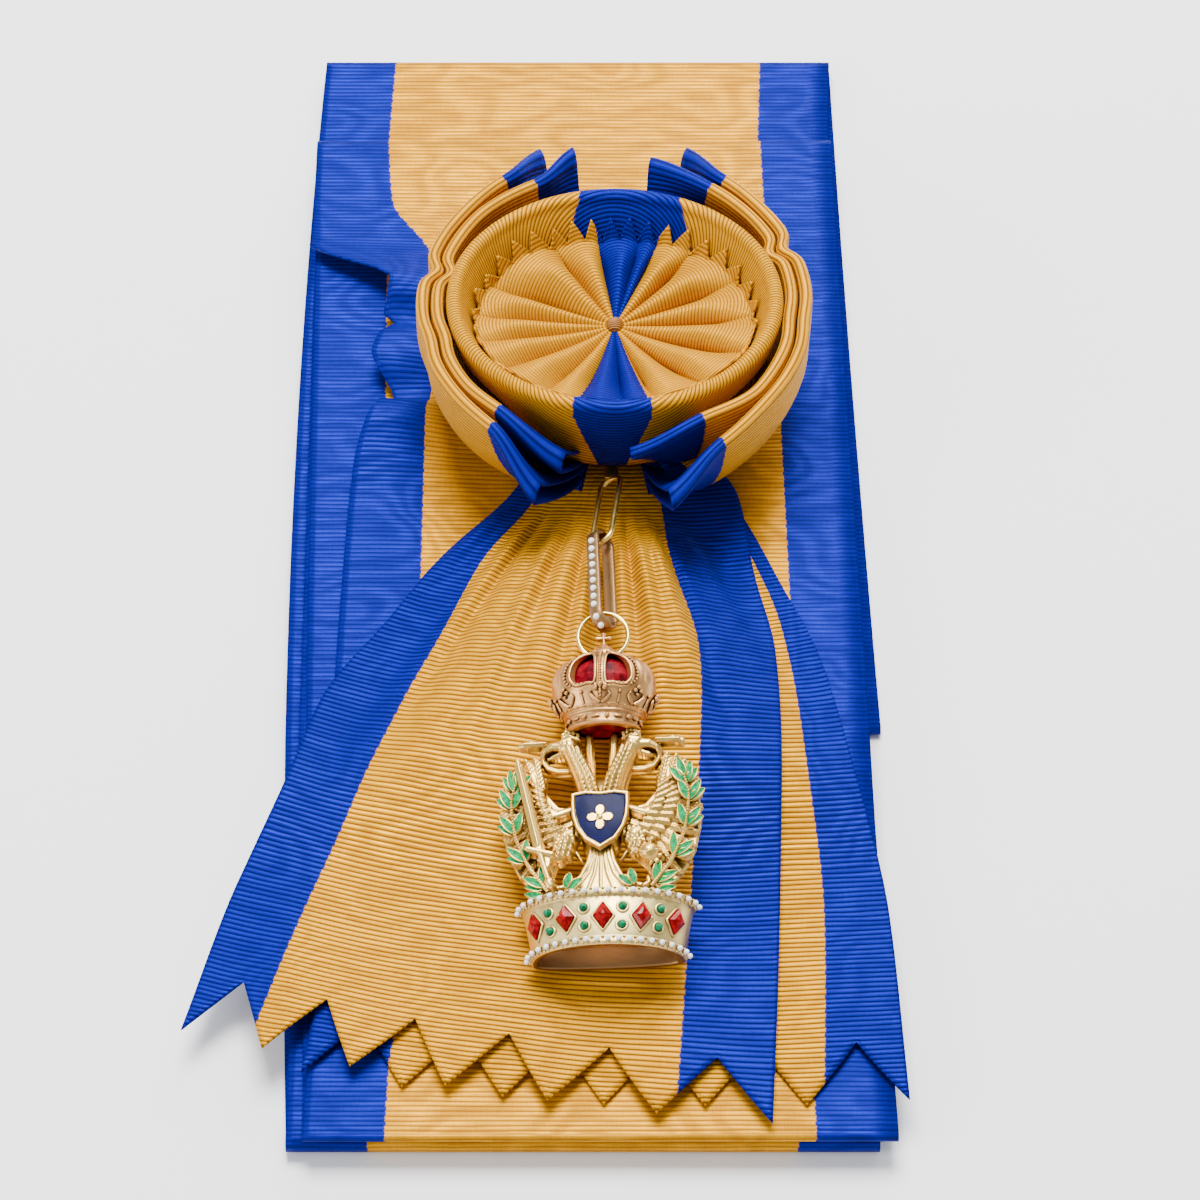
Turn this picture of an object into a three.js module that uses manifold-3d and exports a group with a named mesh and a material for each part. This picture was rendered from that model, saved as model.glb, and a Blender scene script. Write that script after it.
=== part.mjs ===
// A folded sash of an order with its bow rosette and its enamelled badge, lying on a flat surface.
// Millimetres, +Z up. The origin is on the resting face below the rosette's axis, and the tails point to -Y.

import * as THREE from "three";
import { mergeVertices } from "three/addons/utils/BufferGeometryUtils.js";
import Module from "manifold-3d";

const wasm = await Module();
wasm.setup();

// Ribbon
const ribbonWidth = 101;
const stripeWidth = 14;
const cloth = 1.0;
const layerGap = 0.2;
const pieceGap = 0.3;

// Folded band: how far each fold lies from the rosette's axis
const frontReach = 156.4;
const shortReach = 72;
const topBackReach = 62.5;
const rearReach = 87.2;
const foldSteps = 4;

// Tails
const tailReach = 150;
const teethPerTail = 6;
const toothDepth = 11.5;

// Bow and rosette
const rosetteRadius = 36.6;
const rosetteTop = 38;
const loopFold = 2.4;
const wrapRadius = 7.5;
const ringHalfLength = 31.0;
const ringHalfDepth = 26.1;
const ringRoll = 3.0;
const lipDepth = 6.5;
const lipTeeth = 38;
const discPleats = 10;
const knotRadius = 1.6;
const knotHeight = 1.2;

// Hook, link and ring
const hookWire = 1.0;
const linkPlay = 0.5;
const shankWidth = 2.4;
const shankThickness = 1.2;
const linkWidth = 5.6;
const linkStrip = 2.4;
const linkThickness = 0.8;
const linkBead = 1.3;
const linkBeads = 9;
const ringDiameter = 9.7;
const ringWire = 0.8;

// Badge
const badgeSlope = 8;
const badgeRoll = 6;
const circletWidth = 30.6;
const circletBottomWidth = 26.6;
const circletDepth = 12.8;
const circletHeight = 10.4;
const circletWall = 1.2;
const pearlDiameter = 1.05;
const pearlsPerRow = 20;
const lozengeWidth = 3.4;
const lozengeHeight = 4.8;
const greenStone = 1.3;
const crownWidth = 18.6;
const crownDepth = 13;
const crownHeight = 14.4;
const crownWall = 1.0;
const capDiameter = 5.2;
const capHeight = 2.8;
const shieldWidth = 10.2;
const shieldHeight = 11.2;
const plateThickness = 2.0;
const wingReach = 17.65;
const eagleAxis = -0.95;
const crownFoot = 42.0;
const crownMiddle = 6.6;
const crownAxis = -0.45;
const leafLength = 4.0;
const leafWidth = 1.25;

// Small shared helpers
const radians = (degrees) => (degrees * Math.PI) / 180;
const lerp = (a, b, t) => a + (b - a) * t;
const clamp = (t) => Math.min(1, Math.max(0, t));
const smooth = (a, b, v) => {
  const t = clamp((v - a) / (b - a));
  return t * t * (3 - 2 * t);
};
const point = (x, y, z) => new THREE.Vector3(x, y, z);

// The value of one column of a table at a key, straight between its rows.
function column(table, key, name, at) {
  const rising = table[0][key] <= table[table.length - 1][key];
  const rows = rising ? table : [...table].reverse();
  if (at <= rows[0][key]) return rows[0][name];
  for (let i = 1; i < rows.length; i += 1) {
    if (at <= rows[i][key]) {
      const t = (at - rows[i - 1][key]) / (rows[i][key] - rows[i - 1][key]);
      return lerp(rows[i - 1][name], rows[i][name], t);
    }
  }
  return rows[rows.length - 1][name];
}

// A parabola through three values at 0, one half and 1.
function throughThree(a, b, c, t) {
  return a * (2 * t - 1) * (t - 1) + b * 4 * t * (1 - t) + c * t * (2 * t - 1);
}

// A closed body from points and triangles, turned so that its faces point out.
function body(points, triangles) {
  let volume = 0;
  for (const [a, b, c] of triangles) {
    volume += points[a].dot(points[b].clone().cross(points[c]));
  }
  const faces = volume < 0 ? triangles.map(([a, b, c]) => [a, c, b]) : triangles;
  const geometry = new THREE.BufferGeometry();
  geometry.setAttribute(
    "position",
    new THREE.Float32BufferAttribute(points.flatMap((p) => [p.x, p.y, p.z]), 3),
  );
  geometry.setIndex(faces.flat());
  geometry.computeVertexNormals();
  return geometry;
}

// A wall of cloth or metal round a grid of middle points.
// With wrap the last row joins the first one, and with upright the thickness is measured along Z.
// With teeth, a point for each step along the last column, that edge is pinked.
function sheet(rows, { thickness = cloth, wrap = false, upright = false, teeth = null } = {}) {
  const count = rows.length;
  const columns = rows[0].length;
  const step = (list, i, closed) => {
    const here = list[i];
    const before = list[closed ? (i + list.length - 1) % list.length : Math.max(i - 1, 0)];
    const after = list[closed ? (i + 1) % list.length : Math.min(i + 1, list.length - 1)];
    const incoming = here.clone().sub(before).normalize();
    const outgoing = after.clone().sub(here).normalize();
    return incoming.add(outgoing).normalize();
  };
  const faceOf = (i, j) => {
    if (upright) return point(0, 0, 1);
    const along = step(rows.map((row) => row[j]), i, wrap);
    const across = step(rows[i], j, false);
    return along.cross(across).normalize();
  };
  const points = [];
  for (const side of [0.5, -0.5]) {
    for (let i = 0; i < count; i += 1) {
      for (let j = 0; j < columns; j += 1) {
        points.push(rows[i][j].clone().addScaledVector(faceOf(i, j), side * thickness));
      }
    }
  }
  const top = (i, j) => (i % count) * columns + j;
  const low = (i, j) => count * columns + top(i, j);
  const triangles = [];
  const quad = (a, b, c, d) => triangles.push([a, b, c], [a, c, d]);
  const cells = wrap ? count : count - 1;
  for (let i = 0; i < cells; i += 1) {
    for (let j = 0; j < columns - 1; j += 1) {
      quad(top(i, j), top(i + 1, j), top(i + 1, j + 1), top(i, j + 1));
      quad(low(i, j), low(i, j + 1), low(i + 1, j + 1), low(i + 1, j));
    }
    quad(top(i, 0), low(i, 0), low(i + 1, 0), top(i + 1, 0));
    const last = columns - 1;
    if (teeth) {
      const { tip, face } = teeth(i);
      const high = points.push(tip.clone().addScaledVector(face, thickness / 2)) - 1;
      const deep = points.push(tip.clone().addScaledVector(face, -thickness / 2)) - 1;
      triangles.push([top(i, last), top(i + 1, last), high]);
      triangles.push([low(i + 1, last), low(i, last), deep]);
      quad(low(i, last), top(i, last), high, deep);
      quad(top(i + 1, last), low(i + 1, last), deep, high);
    } else {
      quad(top(i, last), top(i + 1, last), low(i + 1, last), low(i, last));
    }
  }
  if (!wrap) {
    const end = count - 1;
    for (let j = 0; j < columns - 1; j += 1) {
      quad(top(0, j), top(0, j + 1), low(0, j + 1), low(0, j));
      quad(top(end, j), low(end, j), low(end, j + 1), top(end, j + 1));
    }
  }
  return body(points, triangles);
}

// A ring or rod of sections, each a closed list of points, with flat ends unless it is closed.
function skin(sections, closed = false) {
  const size = sections[0].length;
  const points = sections.flat();
  const triangles = [];
  const cells = closed ? sections.length : sections.length - 1;
  for (let i = 0; i < cells; i += 1) {
    const next = (i + 1) % sections.length;
    for (let j = 0; j < size; j += 1) {
      const k = (j + 1) % size;
      triangles.push([i * size + j, next * size + j, next * size + k]);
      triangles.push([i * size + j, next * size + k, i * size + k]);
    }
  }
  if (!closed) {
    const last = (sections.length - 1) * size;
    for (let j = 1; j < size - 1; j += 1) {
      triangles.push([0, j, j + 1]);
      triangles.push([last, last + j + 1, last + j]);
    }
  }
  return body(points, triangles);
}

// A rod through points whose thickness follows a list of radii; flat makes its section an ellipse.
function rod(path, radii, { sides = 6, flat = 1, closed = false, up = point(0, 0, 1) } = {}) {
  const sections = path.map((here, i) => {
    const before = path[closed ? (i + path.length - 1) % path.length : Math.max(i - 1, 0)];
    const after = path[closed ? (i + 1) % path.length : Math.min(i + 1, path.length - 1)];
    const along = after.clone().sub(before).normalize();
    const across = along.clone().cross(up).normalize();
    const lift = across.clone().cross(along).normalize();
    const radius = Array.isArray(radii) ? radii[i] : radii;
    return Array.from({ length: sides }, (_, k) => {
      const turn = (2 * Math.PI * (k + 0.5)) / sides;
      return here
        .clone()
        .addScaledVector(across, radius * Math.cos(turn))
        .addScaledVector(lift, radius * flat * Math.sin(turn));
    });
  });
  return skin(sections, closed);
}

// An ellipsoid of a few faces.
function ball(centre, rx, ry, rz, sides = 10, rings = 6) {
  const geometry = new THREE.SphereGeometry(1, sides, rings);
  geometry.scale(rx, ry, rz);
  geometry.translate(centre.x, centre.y, centre.z);
  return geometry;
}

// A flat outline given a thickness, its lower face at a height.
function plate(outline, height, thickness) {
  const shape = new THREE.Shape(outline.map(([x, y]) => new THREE.Vector2(x, y)));
  const geometry = new THREE.ExtrudeGeometry(shape, { depth: thickness, bevelEnabled: false });
  geometry.translate(0, 0, height);
  return geometry;
}

// Solids for joining and cutting
function solid(geometry) {
  const bare = geometry.clone();
  bare.deleteAttribute("normal");
  bare.deleteAttribute("uv");
  const merged = mergeVertices(bare, 1e-4);
  return new wasm.Manifold(
    new wasm.Mesh({
      numProp: 3,
      vertProperties: new Float32Array(merged.attributes.position.array),
      triVerts: new Uint32Array(merged.index.array),
    }),
  );
}

function geometryOf(manifold) {
  const mesh = manifold.getMesh();
  const geometry = new THREE.BufferGeometry();
  geometry.setAttribute("position", new THREE.BufferAttribute(new Float32Array(mesh.vertProperties), 3));
  geometry.setIndex(new THREE.BufferAttribute(new Uint32Array(mesh.triVerts), 1));
  geometry.computeVertexNormals();
  return geometry;
}

function joined(parts, cuts = []) {
  let whole = solid(parts[0]);
  for (const part of parts.slice(1)) {
    whole = whole.add(solid(part));
  }
  for (const cut of cuts) {
    whole = whole.subtract(solid(cut));
  }
  return geometryOf(whole);
}

// Materials
const finish = (color, roughness, metalness) => ({ color, roughness, metalness });
const finishes = {
  ribbon: finish(0xdfa32c, 0.75, 0),
  tails: finish(0xe0a630, 0.75, 0),
  bow: finish(0xd79a28, 0.75, 0),
  thread: finish(0xb06a24, 0.85, 0),
  brightGold: finish(0xe7b84a, 0.2, 1),
  oldGold: finish(0xa07a48, 0.4, 1),
  paleGold: finish(0xdcc48c, 0.35, 1),
  copperGold: finish(0xb98a5c, 0.4, 1),
  navyEnamel: finish(0x121a3c, 0.15, 0),
  greenEnamel: finish(0x1fa06a, 0.2, 0),
  redEnamel: finish(0x9c1420, 0.2, 0),
  pearl: finish(0xf6f4ee, 0.25, 0),
  redStone: finish(0xa80f1e, 0.1, 0),
  greenStone: finish(0x0f8f5f, 0.1, 0),
};

function mesh(name, geometry, look) {
  const made = new THREE.Mesh(geometry, new THREE.MeshStandardMaterial(finishes[look]));
  made.name = name;
  return made;
}

// Heights of the folded band
const pitch = cloth + layerGap;
const layers = 8;
const shortLayers = 2;
const dropStart = shortReach + 1.5;
const dropEnd = shortReach + 24;

// The middle height of a layer, counted from 1 on top, at a place along the band.
function layerHeight(layer, y) {
  const level = layers - layer;
  const height = cloth / 2 + level * pitch;
  const drop = level < shortLayers ? 0 : shortLayers * pitch * smooth(dropStart, dropEnd, -y);
  return height - drop;
}

const stackTop = (y) => layerHeight(1, y) + cloth / 2;

// The tails are stiff and come down a little later than the stack under them.
const tailDelay = 10;
const tailBed = (y) => stackTop(Math.min(y + tailDelay, 0));

// Where the middle of each folded section lies, as shares of the ribbon's width
const sectionCentres = [
  { section: 1, back: -0.077, middle: -0.056, front: -0.026 },
  { section: 2, back: -0.077, middle: -0.065, front: -0.055 },
  { section: 3, back: -0.07, middle: -0.094, front: -0.055 },
  { section: 4, back: -0.07, middle: -0.05, front: -0.023 },
];

// The top layer's left edge: place as a share of the front reach, edge and stripe as shares of the width
const topLeftEdge = [
  { at: -0.4, edge: -0.578, stripe: -0.439, lift: 0 },
  { at: -0.29, edge: -0.578, stripe: -0.425, lift: 0.4 },
  { at: -0.215, edge: -0.578, stripe: -0.353, lift: 1.2 },
  { at: -0.175, edge: -0.441, stripe: -0.335, lift: 3.4 },
  { at: -0.13, edge: -0.405, stripe: -0.33, lift: 1.2 },
  { at: -0.08, edge: -0.375, stripe: -0.32, lift: 3.8 },
  { at: -0.03, edge: -0.405, stripe: -0.33, lift: 1.2 },
  { at: 0.025, edge: -0.445, stripe: -0.35, lift: 3.2 },
  { at: 0.095, edge: -0.478, stripe: -0.351, lift: 1.4 },
  { at: 0.155, edge: -0.486, stripe: -0.351, lift: 0.6 },
  { at: 0.31, edge: -0.496, stripe: -0.351, lift: 0.3 },
  { at: 0.5, edge: -0.504, stripe: -0.365, lift: 0.2 },
  { at: 0.99, edge: -0.526, stripe: -0.387, lift: 0 },
];

// Folds: where each one ends, which way it faces, and how many layers apart its outermost runs lie
const backTop = { y: topBackReach, side: 1, span: 3 };
const backRear = { y: rearReach, side: 1, span: 3 };
const frontFold = { y: -frontReach, side: -1, span: 3 };
const topFront = { y: -frontReach, side: -1, span: 1 };
const shortFold = { y: -shortReach, side: -1, span: 1 };

// The turns of the band's endless loop: which layer each run is, and the fold that ends it
const bandRuns = [
  { layer: 1, section: 1, fold: backTop },
  { layer: 4, section: 2, fold: frontFold },
  { layer: 5, section: 3, fold: backRear },
  { layer: 8, section: 4, fold: shortFold },
  { layer: 7, section: 4, fold: backRear },
  { layer: 6, section: 3, fold: frontFold },
  { layer: 3, section: 2, fold: backTop },
  { layer: 2, section: 1, fold: topFront },
];
const bandColumns = [0, 0.07, 0.14, 0.3, 0.86, 1];

// Nested folds turn about one middle, and the outer one lies wholly inside the fold's reach.
const foldRadius = (a, b) => (Math.abs(a - b) * pitch) / 2;
const foldMiddle = (fold) => fold.y - fold.side * ((fold.span * pitch) / 2 + cloth / 2);

function sectionCentre(section, y) {
  const row = sectionCentres[section - 1];
  const back = section < 3 ? topBackReach : rearReach;
  const front = section < 4 ? -frontReach : -shortReach;
  const t = clamp((back - y) / (back - front));
  return ribbonWidth * throughThree(row.back, row.middle, row.front, t);
}

function bandPoint(run, y, z, share) {
  const centre = sectionCentre(run.section, y);
  let x = centre + (share - 0.5) * ribbonWidth;
  let lift = 0;
  if (run.layer === 1) {
    const at = -y / frontReach;
    const stripeShare = stripeWidth / ribbonWidth;
    const edge = ribbonWidth * column(topLeftEdge, "at", "edge", at);
    const stripe = ribbonWidth * column(topLeftEdge, "at", "stripe", at);
    const right = centre + ribbonWidth / 2;
    const inner = (share - stripeShare) / (1 - stripeShare);
    x = share < stripeShare ? lerp(edge, stripe, share / stripeShare) : lerp(stripe, right, inner);
    lift = column(topLeftEdge, "at", "lift", at) * (1 - smooth(0.02, 0.3, share));
  }
  return point(x, y, z + lift);
}

function sashBand() {
  const rows = [];
  bandRuns.forEach((run, index) => {
    const previous = bandRuns[(index + bandRuns.length - 1) % bandRuns.length];
    const next = bandRuns[(index + 1) % bandRuns.length];
    const from = foldMiddle(previous.fold);
    const to = foldMiddle(run.fold);
    const places = [from, to];
    if (run.layer === 1) {
      topLeftEdge.slice(1, -1).forEach((row) => places.push(-row.at * frontReach));
    } else {
      places.push(lerp(from, to, 0.4));
    }
    if (Math.min(from, to) < -dropEnd) {
      [0, 0.33, 0.67, 1].forEach((t) => places.push(-lerp(dropStart, dropEnd, t)));
    }
    places.sort((a, b) => (to > from ? a - b : b - a));
    for (const y of places) {
      rows.push(bandColumns.map((share) => bandPoint(run, y, layerHeight(run.layer, y), share)));
    }
    const radius = foldRadius(run.layer, next.layer);
    const high = layerHeight(run.layer, to);
    const low = layerHeight(next.layer, to);
    for (let k = 1; k < foldSteps; k += 1) {
      const turn = (Math.PI * k) / foldSteps;
      const y = to + run.fold.side * radius * Math.sin(turn);
      const z = (high + low) / 2 + ((high - low) / 2) * Math.cos(turn);
      const blend = k / foldSteps;
      rows.push(
        bandColumns.map((share) => {
          const here = bandPoint(run, to, z, share);
          const there = bandPoint(next, to, z, share);
          return point(lerp(here.x, there.x, blend), y, z);
        }),
      );
    }
  });
  return sheet(rows, { wrap: true });
}

// Tails: each row is one rib across the ribbon, from the knot to the pinked end.
// Places are shares of the ribbon's width (x) and of the tail's reach (y); stripes are shares of the rib.
const upperTail = [
  { lx: -0.09, ly: 0.055, mx: 0.0, my: 0.06, rx: 0.09, ry: 0.055, left: 0.14, right: 0.25 },
  { lx: -0.195, ly: 0.18, mx: 0.01, my: 0.19, rx: 0.227, ry: 0.18, left: 0.12, right: 0.33 },
  { lx: -0.307, ly: 0.267, mx: -0.03, my: 0.3, rx: 0.252, ry: 0.293, left: 0.127, right: 0.265 },
  { lx: -0.408, ly: 0.367, mx: -0.065, my: 0.415, rx: 0.286, ry: 0.41, left: 0.155, right: 0.2 },
  { lx: -0.515, ly: 0.467, mx: -0.12, my: 0.53, rx: 0.292, ry: 0.533, left: 0.175, right: 0.172 },
  { lx: -0.578, ly: 0.587, mx: -0.17, my: 0.655, rx: 0.288, ry: 0.663, left: 0.158, right: 0.16 },
  { lx: -0.668, ly: 0.74, mx: -0.23, my: 0.81, rx: 0.279, ry: 0.827, left: 0.153, right: 0.149 },
  { lx: -0.739, ly: 0.902, mx: -0.287, my: 0.982, rx: 0.262, ry: 1.03, left: 0.139, right: 0.139 },
];
const lowerTail = [
  { lx: -0.085, ly: 0.055, mx: 0.0, my: 0.06, rx: 0.085, ry: 0.055, left: 0.14, right: 0.14 },
  { lx: -0.18, ly: 0.18, mx: 0.01, my: 0.19, rx: 0.228, ry: 0.193, left: 0.14, right: 0.05 },
  { lx: -0.267, ly: 0.287, mx: 0.02, my: 0.31, rx: 0.3, ry: 0.3, left: 0.14, right: 0.05 },
  { lx: -0.327, ly: 0.4, mx: 0.015, my: 0.43, rx: 0.366, ry: 0.407, left: 0.14, right: 0.075 },
  { lx: -0.396, ly: 0.553, mx: 0.01, my: 0.585, rx: 0.421, ry: 0.567, left: 0.14, right: 0.1 },
  { lx: -0.465, ly: 0.72, mx: 0.0, my: 0.755, rx: 0.472, ry: 0.747, left: 0.14, right: 0.118 },
  { lx: -0.531, ly: 0.96, mx: -0.02, my: 1.0, rx: 0.494, ry: 0.995, left: 0.139, right: 0.14 },
];

// Pleats that radiate from the knot: angle from straight down, width and height, fading at an end
const pleatFoot = { x: 0, y: -8 };
const tailPleats = [
  { angle: -36, width: 6, height: 1.6, end: 100 },
  { angle: -25, width: 5, height: 2.2, end: 125 },
  { angle: -13, width: 5, height: 2.4, end: 110 },
  { angle: 8, width: 5.5, height: 2.4, end: 95 },
  { angle: 19, width: 6, height: 1.2, end: 80 },
];
const tailRise = [
  { at: 0.05, rise: 0 },
  { at: 0.19, rise: 0.4 },
  { at: 0.24, rise: 2 },
  { at: 0.31, rise: 5 },
  { at: 0.43, rise: 6 },
  { at: 0.52, rise: 4.4 },
  { at: 0.62, rise: 2.2 },
  { at: 0.73, rise: 0.3 },
  { at: 0.78, rise: 0 },
];

// The lower tail rises less than the upper one that lies on it.
const lowerLiftShare = 0.72;
const tailPlay = 0.7;

// How far the gathered tails stand above the stack at a place.
function tailLift(x, y) {
  const out = Math.hypot(x - pleatFoot.x, y - pleatFoot.y);
  const angle = (Math.atan2(x - pleatFoot.x, pleatFoot.y - y) * 180) / Math.PI;
  const rise = column(tailRise, "at", "rise", -y / tailReach);
  let lift = rise * (1 - smooth(14, 34, Math.abs(angle + 2)));
  for (const pleat of tailPleats) {
    const bell = Math.exp(-(((angle - pleat.angle) / pleat.width) ** 2));
    const fade = smooth(22, 40, out) * (1 - smooth(pleat.end * 0.45, pleat.end, out));
    lift += pleat.height * bell * fade;
  }
  return lift;
}

// The upper tail's left side hangs past the stack's edge.
function overhang(x, y) {
  const edge = ribbonWidth * -0.56;
  const beyond = clamp((edge - x) / (ribbonWidth * 0.2));
  return beyond * 3.2 * smooth(0.5, 0.9, -y / tailReach);
}

function tail(table, order) {
  const columnCount = teethPerTail * 4;
  const rest = pieceGap + cloth / 2 + order * (cloth + tailPlay);
  const rowPoint = (row, share) => {
    const stripe = stripeWidth / ribbonWidth;
    let along = 0;
    if (share <= stripe) {
      along = (row.left * share) / stripe;
    } else if (share >= 1 - stripe) {
      along = 1 - (row.right * (1 - share)) / stripe;
    } else {
      along = lerp(row.left, 1 - row.right, (share - stripe) / (1 - 2 * stripe));
    }
    const x = ribbonWidth * throughThree(row.lx, row.mx, row.rx, along);
    const y = -tailReach * throughThree(row.ly, row.my, row.ry, along);
    return point(x, y, 0);
  };
  const shares = Array.from({ length: columnCount + 1 }, (_, k) => k / columnCount);
  const rows = table.map((row) => shares.map((share) => rowPoint(row, share)));
  const last = rows.length - 1;
  rows[last] = rows[last].map((tip, k) => {
    const phase = (k / columnCount) * teethPerTail;
    const depth = toothDepth * (1 - Math.abs(2 * (phase - Math.floor(phase)) - 1));
    const along = rows[last - 1][k].clone().sub(tip).normalize();
    return tip.clone().addScaledVector(along, depth);
  });
  for (const row of rows) {
    for (const p of row) {
      const lift = tailLift(p.x, p.y) * (order === 0 ? lowerLiftShare : 1);
      p.z = tailBed(p.y) + rest + lift - overhang(p.x, p.y);
    }
  }
  return sheet(rows, { upright: true });
}

// Bow loops: the ribbon stands on edge round the rosette, its fold on top and both ends in the knot.
// The profile from the knot outwards and up to the rim, as shares of the rim's radius and height
const loopProfile = [
  { out: 0, up: 0 },
  { out: 0.64, up: 0 },
  { out: 0.85, up: 0.15 },
  { out: 0.96, up: 0.42 },
  { out: 1, up: 0.74 },
  { out: 1, up: 1 },
];
const footHeight = stackTop(0) + pieceGap + 2 * cloth + tailPlay + 1.2 + cloth / 2;
const wallPitch = cloth + pieceGap;
const footEnd = wrapRadius + pieceGap;

// Where each loop's rim runs: share across the ribbon from the front selvedge, azimuth from the front,
// radius as a share of the rosette's, height as a share of its top, and mouth as a share of the fold
const loopRims = {
  outer_left: [
    { at: 0, azimuth: 19.6, radius: 1.117, height: 0.821, mouth: 2.2, foot: 13, belly: 0.35 },
    { at: 0.139, azimuth: 38.2, radius: 0.985, height: 0.984, mouth: 1, foot: 30, belly: 0.9 },
    { at: 0.25, azimuth: 55, radius: 0.967, height: 0.968, mouth: 1, foot: 50, belly: 1 },
    { at: 0.5, azimuth: 92, radius: 0.967, height: 0.968, mouth: 1, foot: 90, belly: 1 },
    { at: 0.75, azimuth: 127, radius: 0.967, height: 0.968, mouth: 1, foot: 130, belly: 1 },
    { at: 0.861, azimuth: 144, radius: 0.967, height: 0.984, mouth: 1, foot: 150, belly: 0.9 },
    { at: 1, azimuth: 160.7, radius: 1.13, height: 0.842, mouth: 2.1, foot: 167, belly: 0.35 },
  ],
  inner_left: [
    { at: 0, azimuth: 15.7, radius: 0.92, height: 0.855, mouth: 2.2, foot: 13, belly: 0.35 },
    { at: 0.139, azimuth: 40.7, radius: 0.885, height: 0.984, mouth: 1, foot: 30, belly: 0.9 },
    { at: 0.25, azimuth: 58, radius: 0.893, height: 0.968, mouth: 1, foot: 50, belly: 1 },
    { at: 0.5, azimuth: 92, radius: 0.893, height: 0.968, mouth: 1, foot: 90, belly: 1 },
    { at: 0.75, azimuth: 128, radius: 0.893, height: 0.968, mouth: 1, foot: 130, belly: 1 },
    { at: 0.861, azimuth: 151.7, radius: 0.86, height: 0.984, mouth: 1, foot: 150, belly: 0.9 },
    { at: 1, azimuth: 170.1, radius: 0.965, height: 0.855, mouth: 2.1, foot: 167, belly: 0.35 },
  ],
  outer_right: [
    { at: 0, azimuth: 13.4, radius: 1.15, height: 0.87, mouth: 2.2, foot: 13, belly: 0.35 },
    { at: 0.139, azimuth: 31.7, radius: 1.01, height: 0.968, mouth: 1, foot: 30, belly: 0.9 },
    { at: 0.25, azimuth: 52, radius: 0.967, height: 0.968, mouth: 1, foot: 50, belly: 1 },
    { at: 0.5, azimuth: 90, radius: 0.967, height: 0.968, mouth: 1, foot: 90, belly: 1 },
    { at: 0.75, azimuth: 127, radius: 0.967, height: 0.968, mouth: 1, foot: 130, belly: 1 },
    { at: 0.861, azimuth: 144, radius: 0.967, height: 0.984, mouth: 1, foot: 150, belly: 0.9 },
    { at: 1, azimuth: 161, radius: 1.12, height: 0.86, mouth: 2.1, foot: 167, belly: 0.35 },
  ],
  inner_right: [
    { at: 0, azimuth: 5, radius: 0.87, height: 0.89, mouth: 1, foot: 13, belly: 0.35 },
    { at: 0.139, azimuth: 30.9, radius: 0.845, height: 0.984, mouth: 1, foot: 30, belly: 0.9 },
    { at: 0.25, azimuth: 54, radius: 0.893, height: 0.968, mouth: 1, foot: 50, belly: 1 },
    { at: 0.5, azimuth: 90, radius: 0.893, height: 0.968, mouth: 1, foot: 90, belly: 1 },
    { at: 0.75, azimuth: 127, radius: 0.893, height: 0.968, mouth: 1, foot: 130, belly: 1 },
    { at: 0.861, azimuth: 146, radius: 0.885, height: 0.984, mouth: 1, foot: 150, belly: 0.9 },
    { at: 1, azimuth: 169, radius: 0.96, height: 0.93, mouth: 1.6, foot: 167, belly: 0.35 },
  ],
};
const loopStations = [0, 0.07, 0.139, 0.19, 0.28, 0.39, 0.5, 0.61, 0.72, 0.81, 0.861, 0.93, 1];

// One wall of a loop, from the knot to just under the rim; wall is its place in the pile of walls.
function loopWall(row, wall, radius, top, steps) {
  const foot = footHeight + wall * wallPitch;
  return steps.map((profile) => {
    const straight = profile.up;
    const out = lerp(lerp(0.35, 1, straight), profile.out, profile.out < 0.6 ? 1 : row.belly);
    const r = lerp(footEnd, radius, out);
    const z = lerp(foot, top, profile.up);
    const azimuth = lerp(row.foot, row.azimuth, profile.up ** 0.8);
    return { r, z, azimuth };
  });
}

function bowLoop(side, table, pile) {
  const rows = loopStations.map((at) => {
    const row = {};
    for (const name of ["azimuth", "radius", "height", "mouth", "foot", "belly"]) {
      row[name] = column(table, "at", name, at);
    }
    const half = ((loopFold - cloth) / 2) * row.mouth;
    const radius = row.radius * rosetteRadius;
    const top = row.height * rosetteTop - cloth / 2 - half;
    const outside = loopWall(row, pile, radius + half, top, loopProfile);
    const inside = loopWall(row, pile + 1, radius - half, top, loopProfile).reverse();
    const crest = { r: radius, z: top + half, azimuth: row.azimuth };
    return [...outside, crest, ...inside].map(({ r, z, azimuth }) => {
      const turn = radians(azimuth);
      return point(side * r * Math.sin(turn), -r * Math.cos(turn), z);
    });
  });
  return sheet(rows);
}

// Rosette ring: an oval band of cloth whose edge rolls over the rim and ends in a pinked lip
function ovalRadius(halfLength, halfDepth, turn) {
  return 1 / Math.hypot(Math.cos(turn) / halfLength, Math.sin(turn) / halfDepth);
}

const ringPile = 4.3;

function ringSection(turn) {
  const foot = footHeight + ringPile * wallPitch;
  const top = rosetteTop - cloth / 2;
  const outer = ovalRadius(ringHalfLength, ringHalfDepth, turn) - cloth / 2;
  const inner = outer - ringRoll + cloth;
  const section = [
    { r: footEnd, z: foot },
    { r: outer - 7, z: foot },
    { r: outer, z: top - 1.4 },
    { r: (outer + inner) / 2, z: top },
    { r: inner, z: top - 1.4 },
    { r: inner - 0.2, z: top - lipDepth * 0.4 },
    { r: inner - 0.6, z: top - lipDepth },
  ];
  return section.map(({ r, z }) => point(r * Math.cos(turn), r * Math.sin(turn), z));
}

function rosetteRing() {
  const turnOf = (k) => (2 * Math.PI * k) / lipTeeth;
  const rows = Array.from({ length: lipTeeth }, (_, k) => ringSection(turnOf(k)).slice(0, -1));
  const teeth = (k) => {
    const turn = turnOf(k + 0.5);
    return { tip: ringSection(turn).pop(), face: point(-Math.cos(turn), -Math.sin(turn), 0) };
  };
  return sheet(rows, { wrap: true, teeth });
}

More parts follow.
